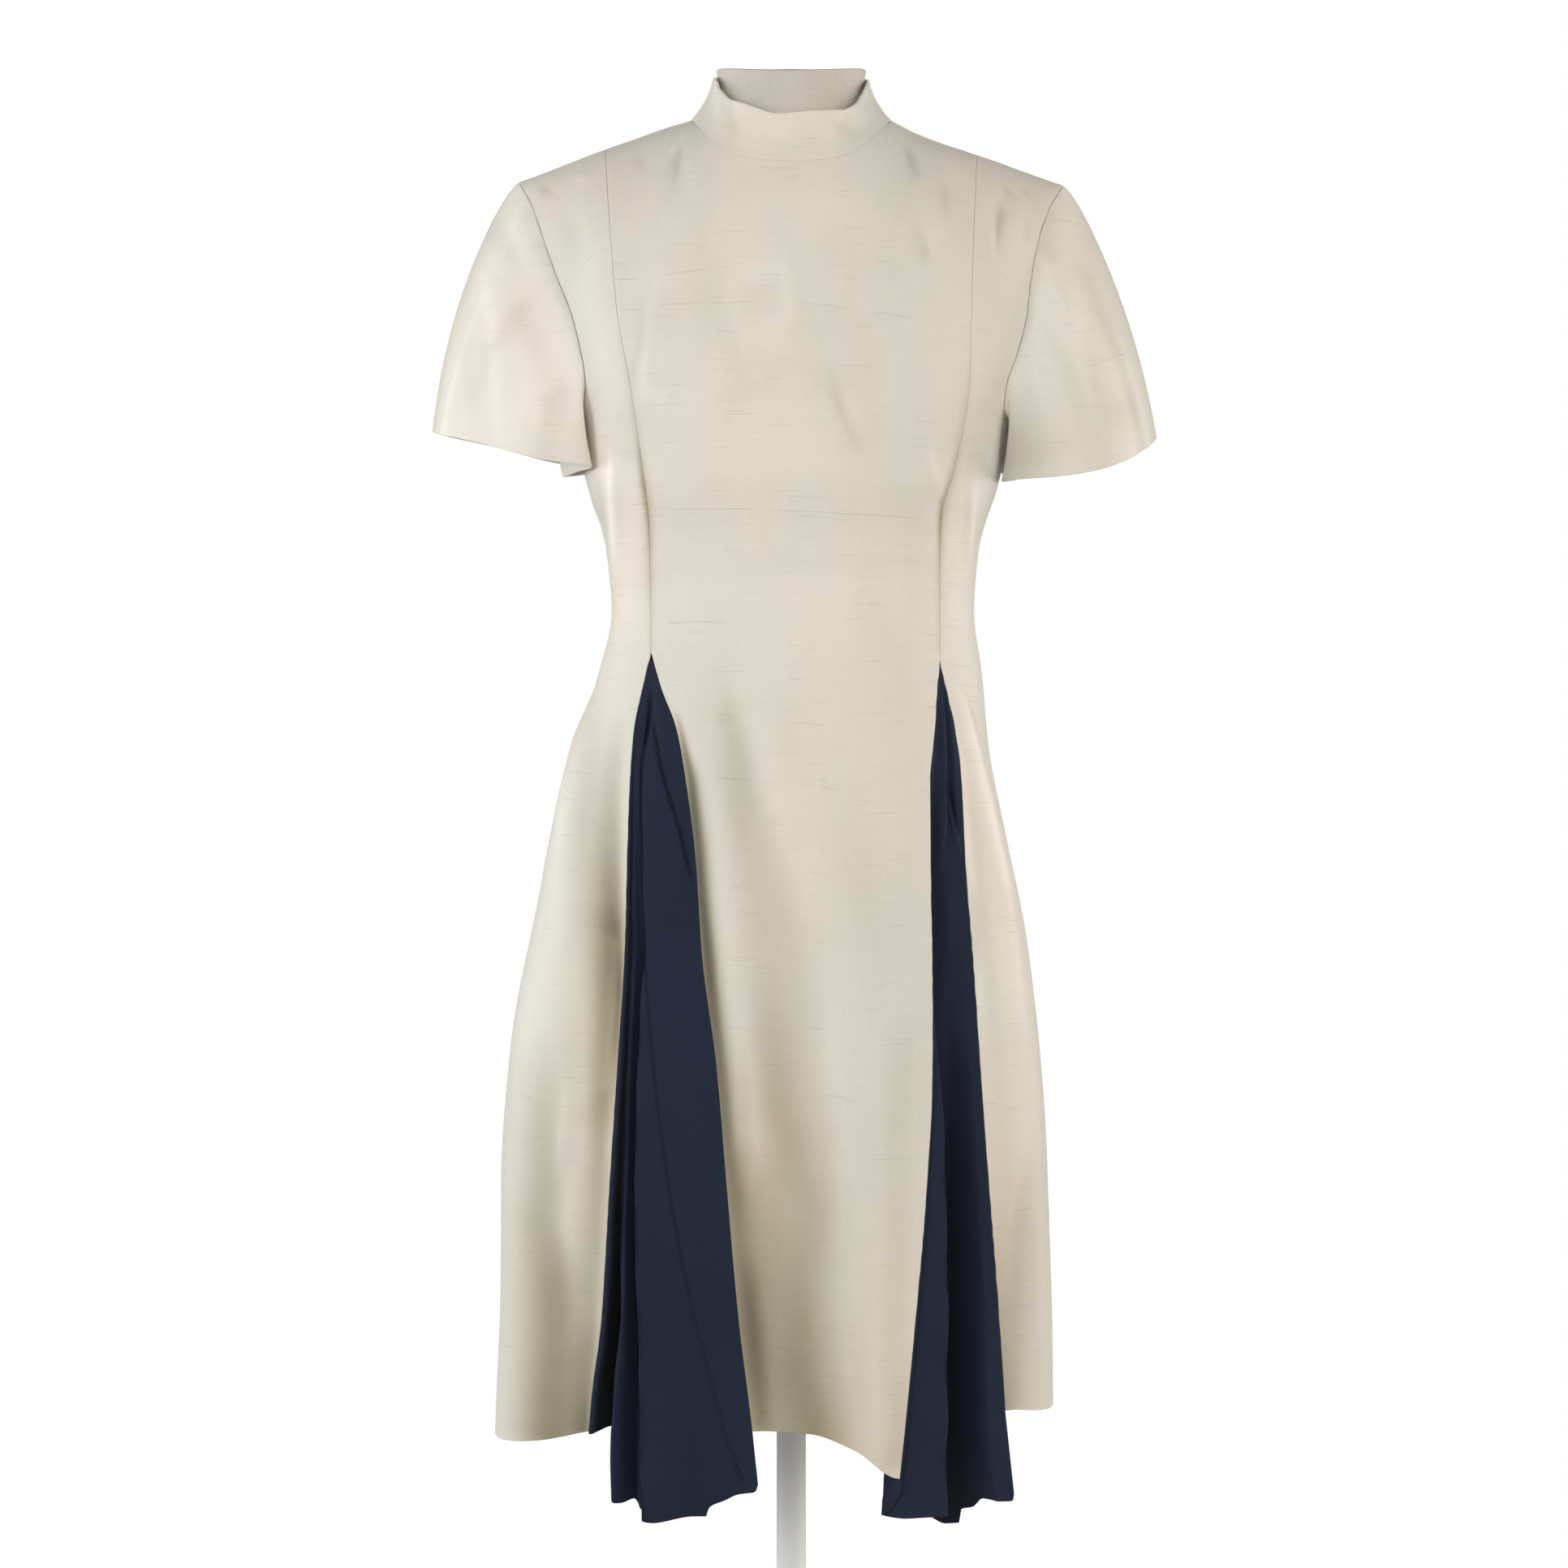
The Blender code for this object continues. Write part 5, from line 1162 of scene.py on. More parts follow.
uv = np.stack([running(points, 1) + 41.0, running(points, 0)], -1)
# The collar's creases are painted darker in their troughs and lighter on their ridges, as painted shade and
# highlights.
cloth["collar"] = shell("collar_silk", points, normal, outer_depth, inner_depth, uv, SILK, "ivory_silk",
                        painted_shading=painted_fold_shading(crease))
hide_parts("collar")
surface["collar"] = points
print("collar", points.shape, "foot", round(float(from_first[0, -1]), 3), "m, fold",
      round(float(from_first[-1, -1]), 3), "m, area", round(cloth_area(points), 4))

# %% [markdown]
# ## The sleeves
#
# A set-in sleeve is a flat piece whose rounded head is eased into the armhole, so that it leaves the
# shoulder in a curve and then hangs free. Sweeping a circle along the arm would miss the head. Each
# column here runs from the armhole to the sleeve's hem on a curve of second order, whose middle
# stands out at the shoulder and is eased up under the arm.

# %% Creases and painted shade of the sleeves
SLEEVE_GIRTH, SLEEVE_DROP = 0.22, 0.18   # how wide half a sleeve is and how far it hangs
SLEEVE_SCALE = (SLEEVE_GIRTH, SLEEVE_DROP, 0.001, 0.001)
SLEEVE_CREASES = {           # share of the way round, share of the way down, width and height in mm
    "left": strokes(
        (0.16, 0.1, 6, 0,  0.17, 0.45, 7, 1.8,  0.19, 1, 9, 2.2),
        (0.36, 0.04, 6, 0,  0.33, 0.3, 8, -1.8,  0.29, 0.6, 9, -1.2,  0.28, 0.9, 9, 0),
        (0.1, 0.02, 4, 0,  0.13, 0.12, 5, 1.2,  0.16, 0.3, 6, 0),
        (0.52, 0.1, 7, 0,  0.47, 0.45, 10, 1.8,  0.44, 1, 12, 2.4),
        (0.64, 0.2, 8, 0,  0.58, 0.6, 10, -1.8,  0.56, 1, 11, -2),
        scale=SLEEVE_SCALE),
    "right": strokes(
        (0.14, 0.12, 6, 0,  0.16, 0.5, 7, -1.4,  0.17, 1, 8, -2.4),
        (0.3, 0.04, 6, 0,  0.3, 0.25, 7, 1.4,  0.28, 0.5, 9, 0),
        (0.44, 0.1, 7, 0,  0.4, 0.5, 9, -1.6,  0.37, 1, 10, -2),
        (0.56, 0.15, 7, 0,  0.53, 0.55, 10, 1.6,  0.5, 1, 12, 2.4),
        (0.08, 0.02, 4, 0,  0.11, 0.14, 5, 1,  0.13, 0.3, 6, 0),
        scale=SLEEVE_SCALE)}


# %% The sleeves' painted shade, hems and size
SLEEVE_PAINTED_SHADING = strokes(       # painted shade and painted highlights of both sleeves, seen from the front
    (-204.8, 1355, 3.1, 0,  -208.1, 1337, 4.4, -50,  -202.6, 1315, 4.9, -45,  -190.6, 1291, 4, 0),
    (-221.2, 1346, 4.4, 0,  -224.4, 1329, 6.6, 50,  -212.4, 1313, 6.6, 55,  -201.5, 1291, 5.8, 0),
    (-236.4, 1315, 4.4, 0,  -227.7, 1280, 5.8, -55,  -222.3, 1243, 5.8, -60,  -220.1, 1204, 6.2, -60,
     -218.6, 1169, 6.6, -30),
    (-212.4, 1304, 5.8, 0,  -203.7, 1269, 8.9, 45,  -188.5, 1237, 9.7, 50,  -179.7, 1204, 8.9, 30,
     -173.2, 1176, 6.6, 0),
    (-166.6, 1243, 6.6, 0,  -160.1, 1213, 7.5, -40,  -156.8, 1182, 6.6, -20),
    (-245.2, 1274, 4.4, 0,  -243, 1239, 5.3, 35,  -238.6, 1204, 5.8, 35,  -236.4, 1176, 5.3, 0),
    (196, 1351, 5.2, 0,  190.9, 1328, 6.7, 50,  193.5, 1309, 6.7, 60,  187.1, 1295, 5.2, 0),
    (215.1, 1338, 6.7, 0,  224, 1295, 10.3, 60,  234.2, 1269, 11.4, 75,  245.6, 1241, 9.3, 50,
     250.7, 1221, 6.7, 0),
    (220.2, 1236, 6.2, 0,  227.8, 1211, 6.7, 45,  230.9, 1180, 7.2, 50,  232.9, 1155, 6.7, 30),
    (210, 1295, 6.2, 0,  215.1, 1259, 6.7, -40,  215.1, 1226, 6.7, 0),
    (240.5, 1211, 6.2, 0,  244.3, 1193, 9.3, 65,  246.9, 1175, 9.3, 30,  248.2, 1160, 6.7, 0),
    (166.7, 1175, 7.7, 0,  176.9, 1160, 11.4, 45,  197.3, 1162, 12.9, 45,  220.2, 1160, 7.7, 0))
SLEEVE_PUFF = 0.0018         # how far the head stands out beyond its curve, 20 mm below the shoulder
PUFF_PLACE = 0.11            # share of the way down where it stands out most
SLEEVE_LENGTH = 0.19
SLEEVE_TURN_UP_HEIGHT = 0.022
CUFF_LIFT = {                # how far the middle of the hem's front and back lies off the table
    ("left", -1): -0.0035, ("left", 1): 0.0055, ("right", -1): 0.0, ("right", 1): 0.0180}


def cuff_points(cuff, side_name, runs, half):
    """The sleeve's hem: x and height from the table, y forwards or backwards, and its own lift."""
    z = column(cuff, "z", runs, "run") + CUFF_LIFT[side_name, half] * np.sin(np.pi * runs)
    x, y = (column(cuff, name, runs, "run") for name in ("x", "y"))
    return np.stack([SIGN[side_name] * x, half * y, z], axis=-1)


def painted_sleeve_shading(side_name, run, drop):
    """Painted shading of the sleeves: a little lighter than the body, painted shade along their outer
    fold and beside the armhole, and on the right one darker under the arm, as painted shade where it
    turns behind the body, and near its hem."""
    edge = 0.14 * np.exp(-(run / 0.07) ** 2) * eased(drop, 0.25) - (0.075 if side_name == "left" else 0.045)
    edge = edge + 0.12 * np.exp(-(drop / 0.05) ** 2) * eased(run, 0.5)
    right_sleeve_darkening = 0.10 * np.exp(-((run - 0.16) / 0.03) ** 2 - ((drop - 0.84) / 0.08) ** 2)
    right_sleeve_darkening = right_sleeve_darkening + 0.15 * np.exp(-((run - 0.66) / 0.17) ** 2 - ((drop - 0.80) / 0.35) ** 2)
    return edge + right_sleeve_darkening * (side_name == "right")


def armhole_points(side_name, run, half):
    """Points of the body's own armhole edge, found between its rows by their stage."""
    grid = surface[("side_front_" if half < 0 else "back_") + side_name]
    rows = stages(np.ones(1))[:, 0]
    upper = rows <= 1
    at = column(ARMHOLE_ROWS, "fraction", run, "run")
    return np.stack([np.interp(at, rows[upper], grid[upper, -1, i]) for i in range(3)], -1)


# %% One sleeve
def silk_sleeve(side_name):
    """Quadratic curves from the armhole to the hem, with creases that grow towards the hem."""
    name, sign = "sleeve_" + side_name, SIGN[side_name]
    cuff = LEFT_CUFF if side_name == "left" else RIGHT_CUFF
    runs = smooth((0.0, 0.5, 1.0), (0.0, 0.42, 1.0), np.linspace(0, 1, 72))
    back_runs = runs[1:-1][::-1]
    start = np.concatenate([armhole_points(side_name, runs, -1), armhole_points(side_name, back_runs, 1)])
    end = np.concatenate([cuff_points(cuff, side_name, runs, -1), cuff_points(cuff, side_name, back_runs, 1)])
    all_runs = np.concatenate([runs, back_runs])
    halves = np.concatenate([-np.ones(len(runs)), np.ones(len(back_runs))])
    normal = np.where((halves < 0)[:, None], body_normal(start, -1), body_normal(start, 1))
    along = np.roll(start, -1, axis=0) - np.roll(start, 1, axis=0)
    start = start - sign * unit(np.cross(along, normal)) * SLEEVE_GAP
    top_share = np.cos(np.pi * all_runs / 2) ** 2
    cap = SLEEVE_CAP[side_name] * top_share
    belly = halves * SLEEVE_BELLY * np.sin(np.pi * all_runs) * np.sqrt(top_share)
    swell = np.stack([sign * cap, belly, cap], axis=-1)
    ease = UNDERARM_EASE * (1 - top_share)[:, None] ** 5.5
    middle = (start + end) / 2 + swell + (normal + (0.0, 0.0, 1.0)) * ease
    t = spread(52, EDGE_STEPS / SLEEVE_LENGTH, EDGE_STEPS / SLEEVE_LENGTH)[:, None, None]
    puff = SLEEVE_PUFF * top_share[:, None] * (t / PUFF_PLACE) * np.exp(1 - t / PUFF_PLACE)
    points = (1 - t) ** 2 * start + 2 * t * (1 - t) * middle + t ** 2 * end + puff * (sign * 0.8, 0.0, 0.6)
    out = -grid_normals(points, closed=True)
    centre = points.mean(axis=1, keepdims=True)
    out = out * np.sign(np.sum(out * (points - centre), axis=-1, keepdims=True))
    out[0] = unit(normal * top_share[:, None] + out[0] * (1 - top_share[:, None]))
    blend = (1 - eased(t[:, :, 0], 0.12))[:, :, None]
    out = unit(out[0] * blend + out * (1 - blend))
    across, from_head = running(points, 1), running(points, 0)
    from_hem = from_head[-1:] - from_head
    drop = t[:, :, 0]
    crease = relief(all_runs * SLEEVE_GIRTH + 0 * drop, drop * SLEEVE_DROP + 0 * all_runs,
                    SLEEVE_CREASES[side_name]) * (0.6 - 0.4 * halves)
    crease = crease * eased(from_head, 0.006) * eased(1 - all_runs, 0.12) * eased(all_runs, 0.05)
    crease = crease + pucker(np.cumsum(np.linalg.norm(along, axis=-1)) / 2, from_head, 6.0, 0.0005, 0.008)
    depths = cloth_depths(rolled(from_head, SEAM_ROLL), rolled(from_hem, SEAM_ROLL), from_hem,
                          SLEEVE_TURN_UP_HEIGHT, crease)
    # Painted shade and highlights: on the creases, the sleeves' own painted shading, and in front the listed
    # strokes.
    painted_shading = (painted_fold_shading(crease) + painted_sleeve_shading(side_name, all_runs[None, :], drop)
            + relief(points[:, :, 0], points[:, :, 2], SLEEVE_PAINTED_SHADING) * (halves < 0))
    u = np.concatenate([across, across[:, -1:] + 0.003], axis=1) + 60 + 9 * sign
    v = np.concatenate([points[:, :, 2], points[:, :1, 2]], axis=1)
    piece = shell(name + "_silk", points, out, *depths, np.stack([u, v], -1), SILK, "ivory_silk",
                  closed=True, painted_shading=painted_shading)
    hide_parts(name)
    print(name, points.shape, "head and hem", across[[0, -1], -1].round(3).tolist(), "m, length",
          round(float(from_head[-1].max()), 3), "m, area", round(cloth_area(points), 4))
    return piece, points


for side_name in SIGN:
    cloth["sleeve_" + side_name], surface["sleeve_" + side_name] = silk_sleeve(side_name)

# %% [markdown]
# ## The godets
#
# A godet is a wedge of cloth let into a seam. Its top comes to a point, and lower down there is more
# cloth than opening, so it drops back in folds. A flat wedge with a bump map would lose the folds'
# depth. Here a level section of the godet is a line from silk edge to silk edge through a table of
# folds: how far along the opening each lies and how far behind it.

# %% Folds: a height, then for each fold its share of the way across and its depth, in thousandths
LEFT_FOLDS = np.array([
    (380,  70, 50,  145, -1,  269, 16,  299, 10,  365, 25,  325, -3,  660, 8),
    (451,  70, 50,  145, -1,  269, 16,  299, 10,  365, 25,  325, -3,  660, 8),
    (487,  66, 46,  150, -1,  262, 16,  289, 11,  348, 24,  305, -3,  652, 6),
    (534,  53, 36,  150, 1,  225, 15,  249, 13,  308, 22,  266, -3,  639, 4),
    (591,  46, 24,  131, 3,  190, 13,  216, 14,  275, 19,  232, -2,  614, 2),
    (638,  50, 16,  128, 5,  170, 11,  206, 14,  262, 17,  220, -2,  610, 1),
    (696,  47, 12,  110, 4,  157, 9,  197, 12,  244, 14,  209, -1,  591, 0),
    (748,  45, 9,  108, 3,  162, 7,  198, 10,  234, 11,  216, 0,  595, -1),
    (796,  41, 6,  103, 3,  165, 5,  216, 7,  258, 8,  268, 0,  608, -1),
    (824,  43, 4,  98, 2,  152, 4,  196, 5,  228, 6,  250, 0,  598, -2),
    (859,  35, 3,  82, 2,  129, 3,  176, 4,  212, 5,  235, 0,  600, -2),
    (894,  39, 2,  79, 1.5,  118, 2,  158, 2.5,  197, 4,  224, 0,  605, -2),
    (924,  31, 1,  78, 1,  125, 1,  156, 1.5,  203, 3,  250, 0,  594, -1.5),
    (954,  61, 0.5,  122, 0.5,  184, 1,  245, 1.5,  306, 3,  367, 0,  653, -1),
    (985,  125, 0,  250, 0,  375, 0,  500, 0,  625, 0,  750, 0,  875, 0)]) / 1000
RIGHT_FOLDS = np.array([
    (380,  -45, 16,  47, 2,  422, -2,  406, 36,  656, 29,  852, 1),
    (451,  -45, 16,  47, 2,  422, -2,  406, 36,  656, 29,  852, 1),
    (487,  -55, 14,  43, 1,  391, -2,  374, 34,  635, 28,  843, 1),
    (534,  -50, 10,  50, 1,  365, -2,  350, 30,  610, 26,  850, 1),
    (591,  -24, 6,  48, 1,  307, -2,  301, 26,  566, 25,  855, 2),
    (638,  0, 3,  43, 0,  257, -2,  271, 20,  529, 20,  843, 1),
    (696,  0, 1,  53, 0,  158, -1,  193, 14,  474, 14,  825, 1),
    (748,  20, 1,  39, 3,  78, 4,  176, 10,  431, 8,  804, 1),
    (796,  21, 2,  85, 5,  170, 7,  298, 7,  489, 4,  787, 1),
    (824,  22, 2,  111, 5,  222, 6,  356, 5,  533, 2,  778, 1),
    (859,  48, 2,  167, 5,  333, 4,  476, 3,  595, 2,  786, 1),
    (894,  53, 2,  211, 4,  474, 0,  579, 4,  658, 5,  816, 1),
    (924,  62, 1,  219, 2,  469, 0,  562, 4,  656, 4,  812, 0),
    (954,  95, 1,  238, 1,  429, 0,  571, 3,  667, 3,  810, 0),
    (985,  143, 0,  286, 0,  429, 0,  571, 0,  714, 0,  857, 0)]) / 1000

# %% Lines pressed into the godets, and their hems
GODET_LINES = {
    "left": strokes(
        (-103, 987, 1.3, 0,  -104.1, 973, 1.5, -1.6,  -105.1, 958, 1.4, -1.4,  -107.4, 939, 1.3, 0),
        (-102.8, 968, 1.4, 0,  -100.2, 951, 1.5, -1.6,  -96.5, 930, 1.5, -1.8,  -92.2, 914, 1.5, -1.8,
         -81.9, 883, 1.5, -1.8,  -74.1, 851, 1.4, -1.4,  -71.6, 840, 1.3, 0),
        (-107.8, 800, 1.3, 0,  -105.9, 775, 1, -0.9,  -102.7, 730, 1, -0.9,  -98.5, 692, 1, -0.9,
         -96, 672, 1, -0.9,  -88.2, 619, 1, -0.9,  -81, 578, 1, -0.9,  -70.9, 531, 1, -0.9,
         -60.9, 494, 1, -0.9,  -54.4, 469, 1, -0.9,  -48, 446, 1, -0.9,  -35.7, 413, 1.3, -1.2)),
    "right": strokes(
        (110.7, 984, 1.5, 0,  112.4, 964, 1.5, 0.8,  113.4, 939, 1.5, 1,  113.9, 918, 1.4, 0.8,
         114.4, 909, 1.3, 0),
        (113.8, 915, 1.3, 0,  115.5, 900, 1.3, 1.2,  119.1, 884, 1.4, 1.4,  123.3, 868, 1.3, 1,
         124.5, 863, 1.3, 0),
        (115.1, 921, 1.4, 0,  117.4, 903, 1.7, -1.6,  120.4, 887, 1.5, -1.4,  123.3, 876, 1.3, 0),
        (117.1, 870, 0.9, 0,  121.4, 869, 1.1, 0.7,  125.7, 867, 0.9, 0),
        (104.2, 936, 3, 0,  103.9, 894, 3.5, -0.9,  104.7, 835, 4.1, -1.2,  106.2, 776, 4.1, -1,
         107.8, 735, 3, 0))}
LEFT_GODET_HEM = table(
    "run z x",
    (0, 0.446, 0), (0.16, 0.443, 0), (0.22, 0.438, 0), (0.24, 0.4, 0), (0.28, 0.395, 0),
    (0.34, 0.393, 0), (0.38, 0.395, 0), (0.42, 0.389, 0), (0.5, 0.388, 0), (0.6, 0.3885, 0),
    (0.7, 0.382, 0.001), (0.735, 0.38, 0.001), (0.785, 0.3845, 0.001), (0.811, 0.385, 0.001),
    (0.814, 0.3909, 0.001), (0.84, 0.3975, 0.001), (0.86, 0.4025, 0.002), (0.88, 0.404, 0.003),
    (0.93, 0.406, 0.004), (1, 0.41, 0.004))
RIGHT_GODET_HEM = table(
    "run z x",
    (0, 0.41, 0), (0.11, 0.409, 0), (0.18, 0.391, -0.001), (0.22, 0.3875, -0.001), (0.33, 0.3865, 0),
    (0.44, 0.386, 0.001), (0.5, 0.385, 0.001), (0.56, 0.383, 0.003), (0.6, 0.379, 0.004),
    (0.64, 0.374, 0.004), (0.68, 0.3745, 0.004), (0.686, 0.3845, 0.004), (0.715, 0.3875, 0.004),
    (0.732, 0.3942, 0.005), (0.8, 0.3926, 0.005), (0.9, 0.3922, 0.006), (0.97, 0.3935, 0.0065),
    (1, 0.3975, 0.0065))


# %% One godet
CREPE_CLOTH = 0.0011
GODET_SEAM = 0.0025      # a strip along each seam follows the silk before the folds begin
GODET_SEAM_SHARE = 0.03
GODET_OVERHANG = 0.002   # the godet's hem lies at least this far below the silk's
GODET_HEM_LENGTH = 0.05  # about how long the rows below the silk's hem reach
GODET_TURN_UP, GODET_TURN_UP_HEIGHT = 0.0006, 0.012


def fold_curve(folds, z, start, end, inward, shares):
    """A level section: knots at both edges, at both seam strips and at every fold, joined by a
    curve that never overshoots them."""
    strip = min(GODET_SEAM / np.linalg.norm(end - start), GODET_SEAM_SHARE)
    sizes = [float(smooth(folds[:, 0], values, z)) for values in folds.T[1:]]
    place = np.array([0.0, strip] + sizes[0::2] + [1 - strip, 1.0])
    depth = np.array([0.0, 0.0] + sizes[1::2] + [0.0, 0.0])
    knots = np.linspace(0, 1, len(place))
    at = smooth(knots, place, shares)[:, None]
    back = smooth(knots, depth, shares)[:, None]
    return start + (end - start) * at + inward * back, back[:, 0]


def painted_crepe_shading(height, back):
    """Painted shade and highlights of the crepe: up to 60 % darker as painted shade in a line pressed
    into it and far back in a fold, and up to 30 % lighter as a painted highlight on a pressed ridge."""
    pressed = 0.60 * fade_in(-height, 0.0008) - 0.30 * fade_in(height, 0.0008)
    return pressed + 0.60 * fade_in(np.maximum(back, 0) ** 2, 0.018 ** 2)


def crepe_godet(name, first_edge, last_edge, folds, hem, lines, shares):
    """Sections level by level between the two silk edges, then down past the silk's hem, where the
    hem's own table also says how far each place swings sideways."""
    rows, depths = [], []
    for start, end in zip(first_edge, last_edge):
        across = unit(end - start)
        inset = across * min(SEAM_GAP, np.linalg.norm(end - start) / 4)
        inward = unit(np.cross(across, (0.0, 0.0, 1.0)))
        inward = inward * (1 if inward[1] > 0 else -1)
        row, back = fold_curve(folds, (start[2] + end[2]) / 2, start + inset, end - inset, inward, shares)
        rows.append(row)
        depths.append(back)
    last = rows[-1]
    hem_z = np.minimum(smooth(hem["run"], hem["z"], shares), last[:, 2] - GODET_OVERHANG)
    swing = smooth(hem["run"], hem["x"], shares)
    for share in spread(16, [], EDGE_STEPS / GODET_HEM_LENGTH)[1:]:
        rows.append(last + share * np.stack([swing, 0 * swing, hem_z - last[:, 2]], axis=-1))
        depths.append(depths[-1])
    points, back = np.array(rows), np.array(depths)
    normal = grid_normals(points)
    normal = normal * np.where(normal[:, :, 1:2].mean(axis=1, keepdims=True) > 0, -1, 1)
    from_first, from_last, from_top, from_hem = edge_distances(points)
    x, z, from_seam = points[:, :, 0], points[:, :, 2], np.minimum(from_first, from_last)
    pressed = relief(x, z, lines) * np.exp(-(back / 0.010) ** 2)
    grain = 0.0004 * np.sin(90 * z + 40 * x) * eased(from_seam, 0.01) + pressed * eased(from_seam, 0.003)
    hem_roll = rolled(from_hem, CREPE_CLOTH * 0.6)
    thickness = CREPE_CLOTH + GODET_TURN_UP * (1 - eased(from_hem - GODET_TURN_UP_HEIGHT, 0.002))
    uv = np.stack([from_first - from_first.mean(axis=1, keepdims=True) + 80 + len(name), z], -1)
    piece = shell(name + "_crepe", points, normal, hem_roll - grain, thickness - hem_roll - grain, uv,
                  CREPE, "navy_crepe", painted_shading=painted_crepe_shading(pressed, back))
    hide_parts(name)
    print(name, points.shape, "hem along the cloth", round(float(from_first[-1, -1]), 3), "m, length",
          round(float(from_top[-1].max()), 3), "m, area", round(cloth_area(points), 4))
    return piece, points


# The godets take the silk's rows from just below the apex, and the left one has its closest columns
# where its folds are tightest.
below = np.argmax((STAGE > 1) & (stage_z(STAGE, 1.39, 0.43) < APEX_Z - 0.004))
centre, left, right = (surface[n][below:] for n in ("front_center", "side_front_left", "side_front_right"))
left_shares = np.concatenate([np.linspace(0, 0.7, 100)[:-1], np.linspace(0.7, 1, 110)])
for name, *sizes in (
        ("left", left[:, 0], centre[:, 0], LEFT_FOLDS, LEFT_GODET_HEM, GODET_LINES["left"], left_shares),
        ("right", centre[:, -1], right[:, 0], RIGHT_FOLDS, RIGHT_GODET_HEM, GODET_LINES["right"],
         np.linspace(0, 1, 170))):
    cloth["godet_" + name], surface["godet_" + name] = crepe_godet("godet_" + name, *sizes)

# %% [markdown]
# ## The zip
#
# The dress closes at the back with a concealed zip. From outside only its slider and pull show, under
# the collar. Inside, a woven tape, with a groove where its two halves meet, carries the teeth. One
# bar could be copied as objects, but all of them as one mesh are lighter. The CAD slider and pull
# have the right shape and stay, with a better metal.

# %% Zip tape
ZIP_TAPE = 0.0007
ZIP_HALF_WIDTH = 0.011
ZIP_TOP_Z, ZIP_END_Z = 1.4215, 0.955
CAD_CLOTH = 0.0015       # the silk in the CAD model, which the tape lies behind


def zip_line(x, z):
    """A line inside the centre back: the back's outside moved in by the cloth and two seam gaps."""
    spot = on_body(x, z, 1)
    inward = -unit(body_normal(spot, 1) * (0, 1, 1))
    return spot + inward * (CAD_CLOTH + 2 * SEAM_GAP), inward


tape_z = np.linspace(ZIP_TOP_Z, ZIP_END_Z, 150)[:, None]
half_x = np.array([0.0008, 0.0025, 0.005, 0.008, 0.0105, ZIP_HALF_WIDTH])
tape_x = np.concatenate([-half_x[::-1], [0.0], half_x])[None, :]
tape, inward = zip_line(tape_x + 0 * tape_z, tape_z + 0 * tape_x)
groove = 0.0003 * np.exp(-(tape_x / 0.0009) ** 2) + 0 * tape_z
tape_uv = np.stack([tape_x + 0 * tape_z + 90, tape_z + 0 * tape_x], -1)
cloth["zip_tape"] = shell("zip_tape_weave", tape, -inward, groove, ZIP_TAPE + 0 * groove, tape_uv, TAPE,
                          "zip_tape")
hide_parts("zip_tape")
surface["zip_tape"] = tape
print("zip tape", tape.shape)

# %% Teeth: short bowed bars, each three rings of six points, that step to the left and right in turn
TOOTH_PITCH = 0.0016
TOOTH_WIRE = 0.00042     # radius of a bar
TOOTH_REACH = 0.0011     # from its middle to its end
TOOTH_BOW = 0.0006
TOOTH_STEP = 0.0004
tooth_z = np.arange(ZIP_END_Z + 0.006, ZIP_TOP_Z - 0.012, TOOTH_PITCH)
count = len(tooth_z)
ring = np.linspace(0, 2 * np.pi, 7)[:-1]
legs = np.array([-1.0, 0.0, 1.0])[None, :, None]
centre, teeth_in = zip_line(0 * tooth_z, tooth_z)
step = np.where(np.arange(count) % 2 == 0, TOOTH_STEP, -TOOTH_STEP)[:, None, None]
lift = ZIP_TAPE + 0.0002 + TOOTH_BOW * (1 - 0.5 * legs ** 2) + TOOTH_WIRE * np.sin(ring) + 0 * step
sideways = TOOTH_REACH * legs + step + 0 * lift
tooth = (centre[:, None, None, :] + teeth_in[:, None, None, :] * lift[..., None]
         + np.stack([sideways, 0 * lift, TOOTH_WIRE * np.cos(ring) + 0 * lift], -1))
cell = np.arange(count)[:, None, None, None] * 18
six = np.arange(6)
a, b = (np.arange(2)[None, :, None] * 6 + c for c in (six, (six + 1) % 6))
sides = np.stack([a, b, b + 6, a + 6], -1)
caps = np.array([[0, 1, 2, 3], [0, 3, 4, 5], [15, 14, 13, 12], [17, 16, 15, 12]])
quads = np.concatenate([(cell + sides[0][None]).reshape(-1, 4), (cell[:, 0] + caps[None]).reshape(-1, 4)])
flat = tooth.reshape(-1, 3)
middle_of = centre + teeth_in * (ZIP_TAPE + 0.0005)
face = flat[quads]
facing = np.sum(np.cross(face[:, 1] - face[:, 0], face[:, 3] - face[:, 0])
                * (face.mean(axis=1) - middle_of[quads[:, 0] // 18]), axis=-1)
quads = np.where((facing < 0)[:, None], quads[:, ::-1], quads)
make_mesh("zip_teeth", flat, quads, np.zeros((len(quads), 4, 2)), TAPE, "dress", "zip_tape")
print(count, "teeth with", len(quads), "faces")

# %% [markdown]
# ## The dress form
#
# A limbless form: a padded torso under a plain cover, cut off aslant at the neck and level below the
# hips, on a pole and a round base. It is here to hold the dress, so its shape stays plain. It is lofted
# through rings, as a padded form is built up in layers. A lathe would give round sections and a level
# neck, but these rings are ovals and tilt at the neck, because a neck does.

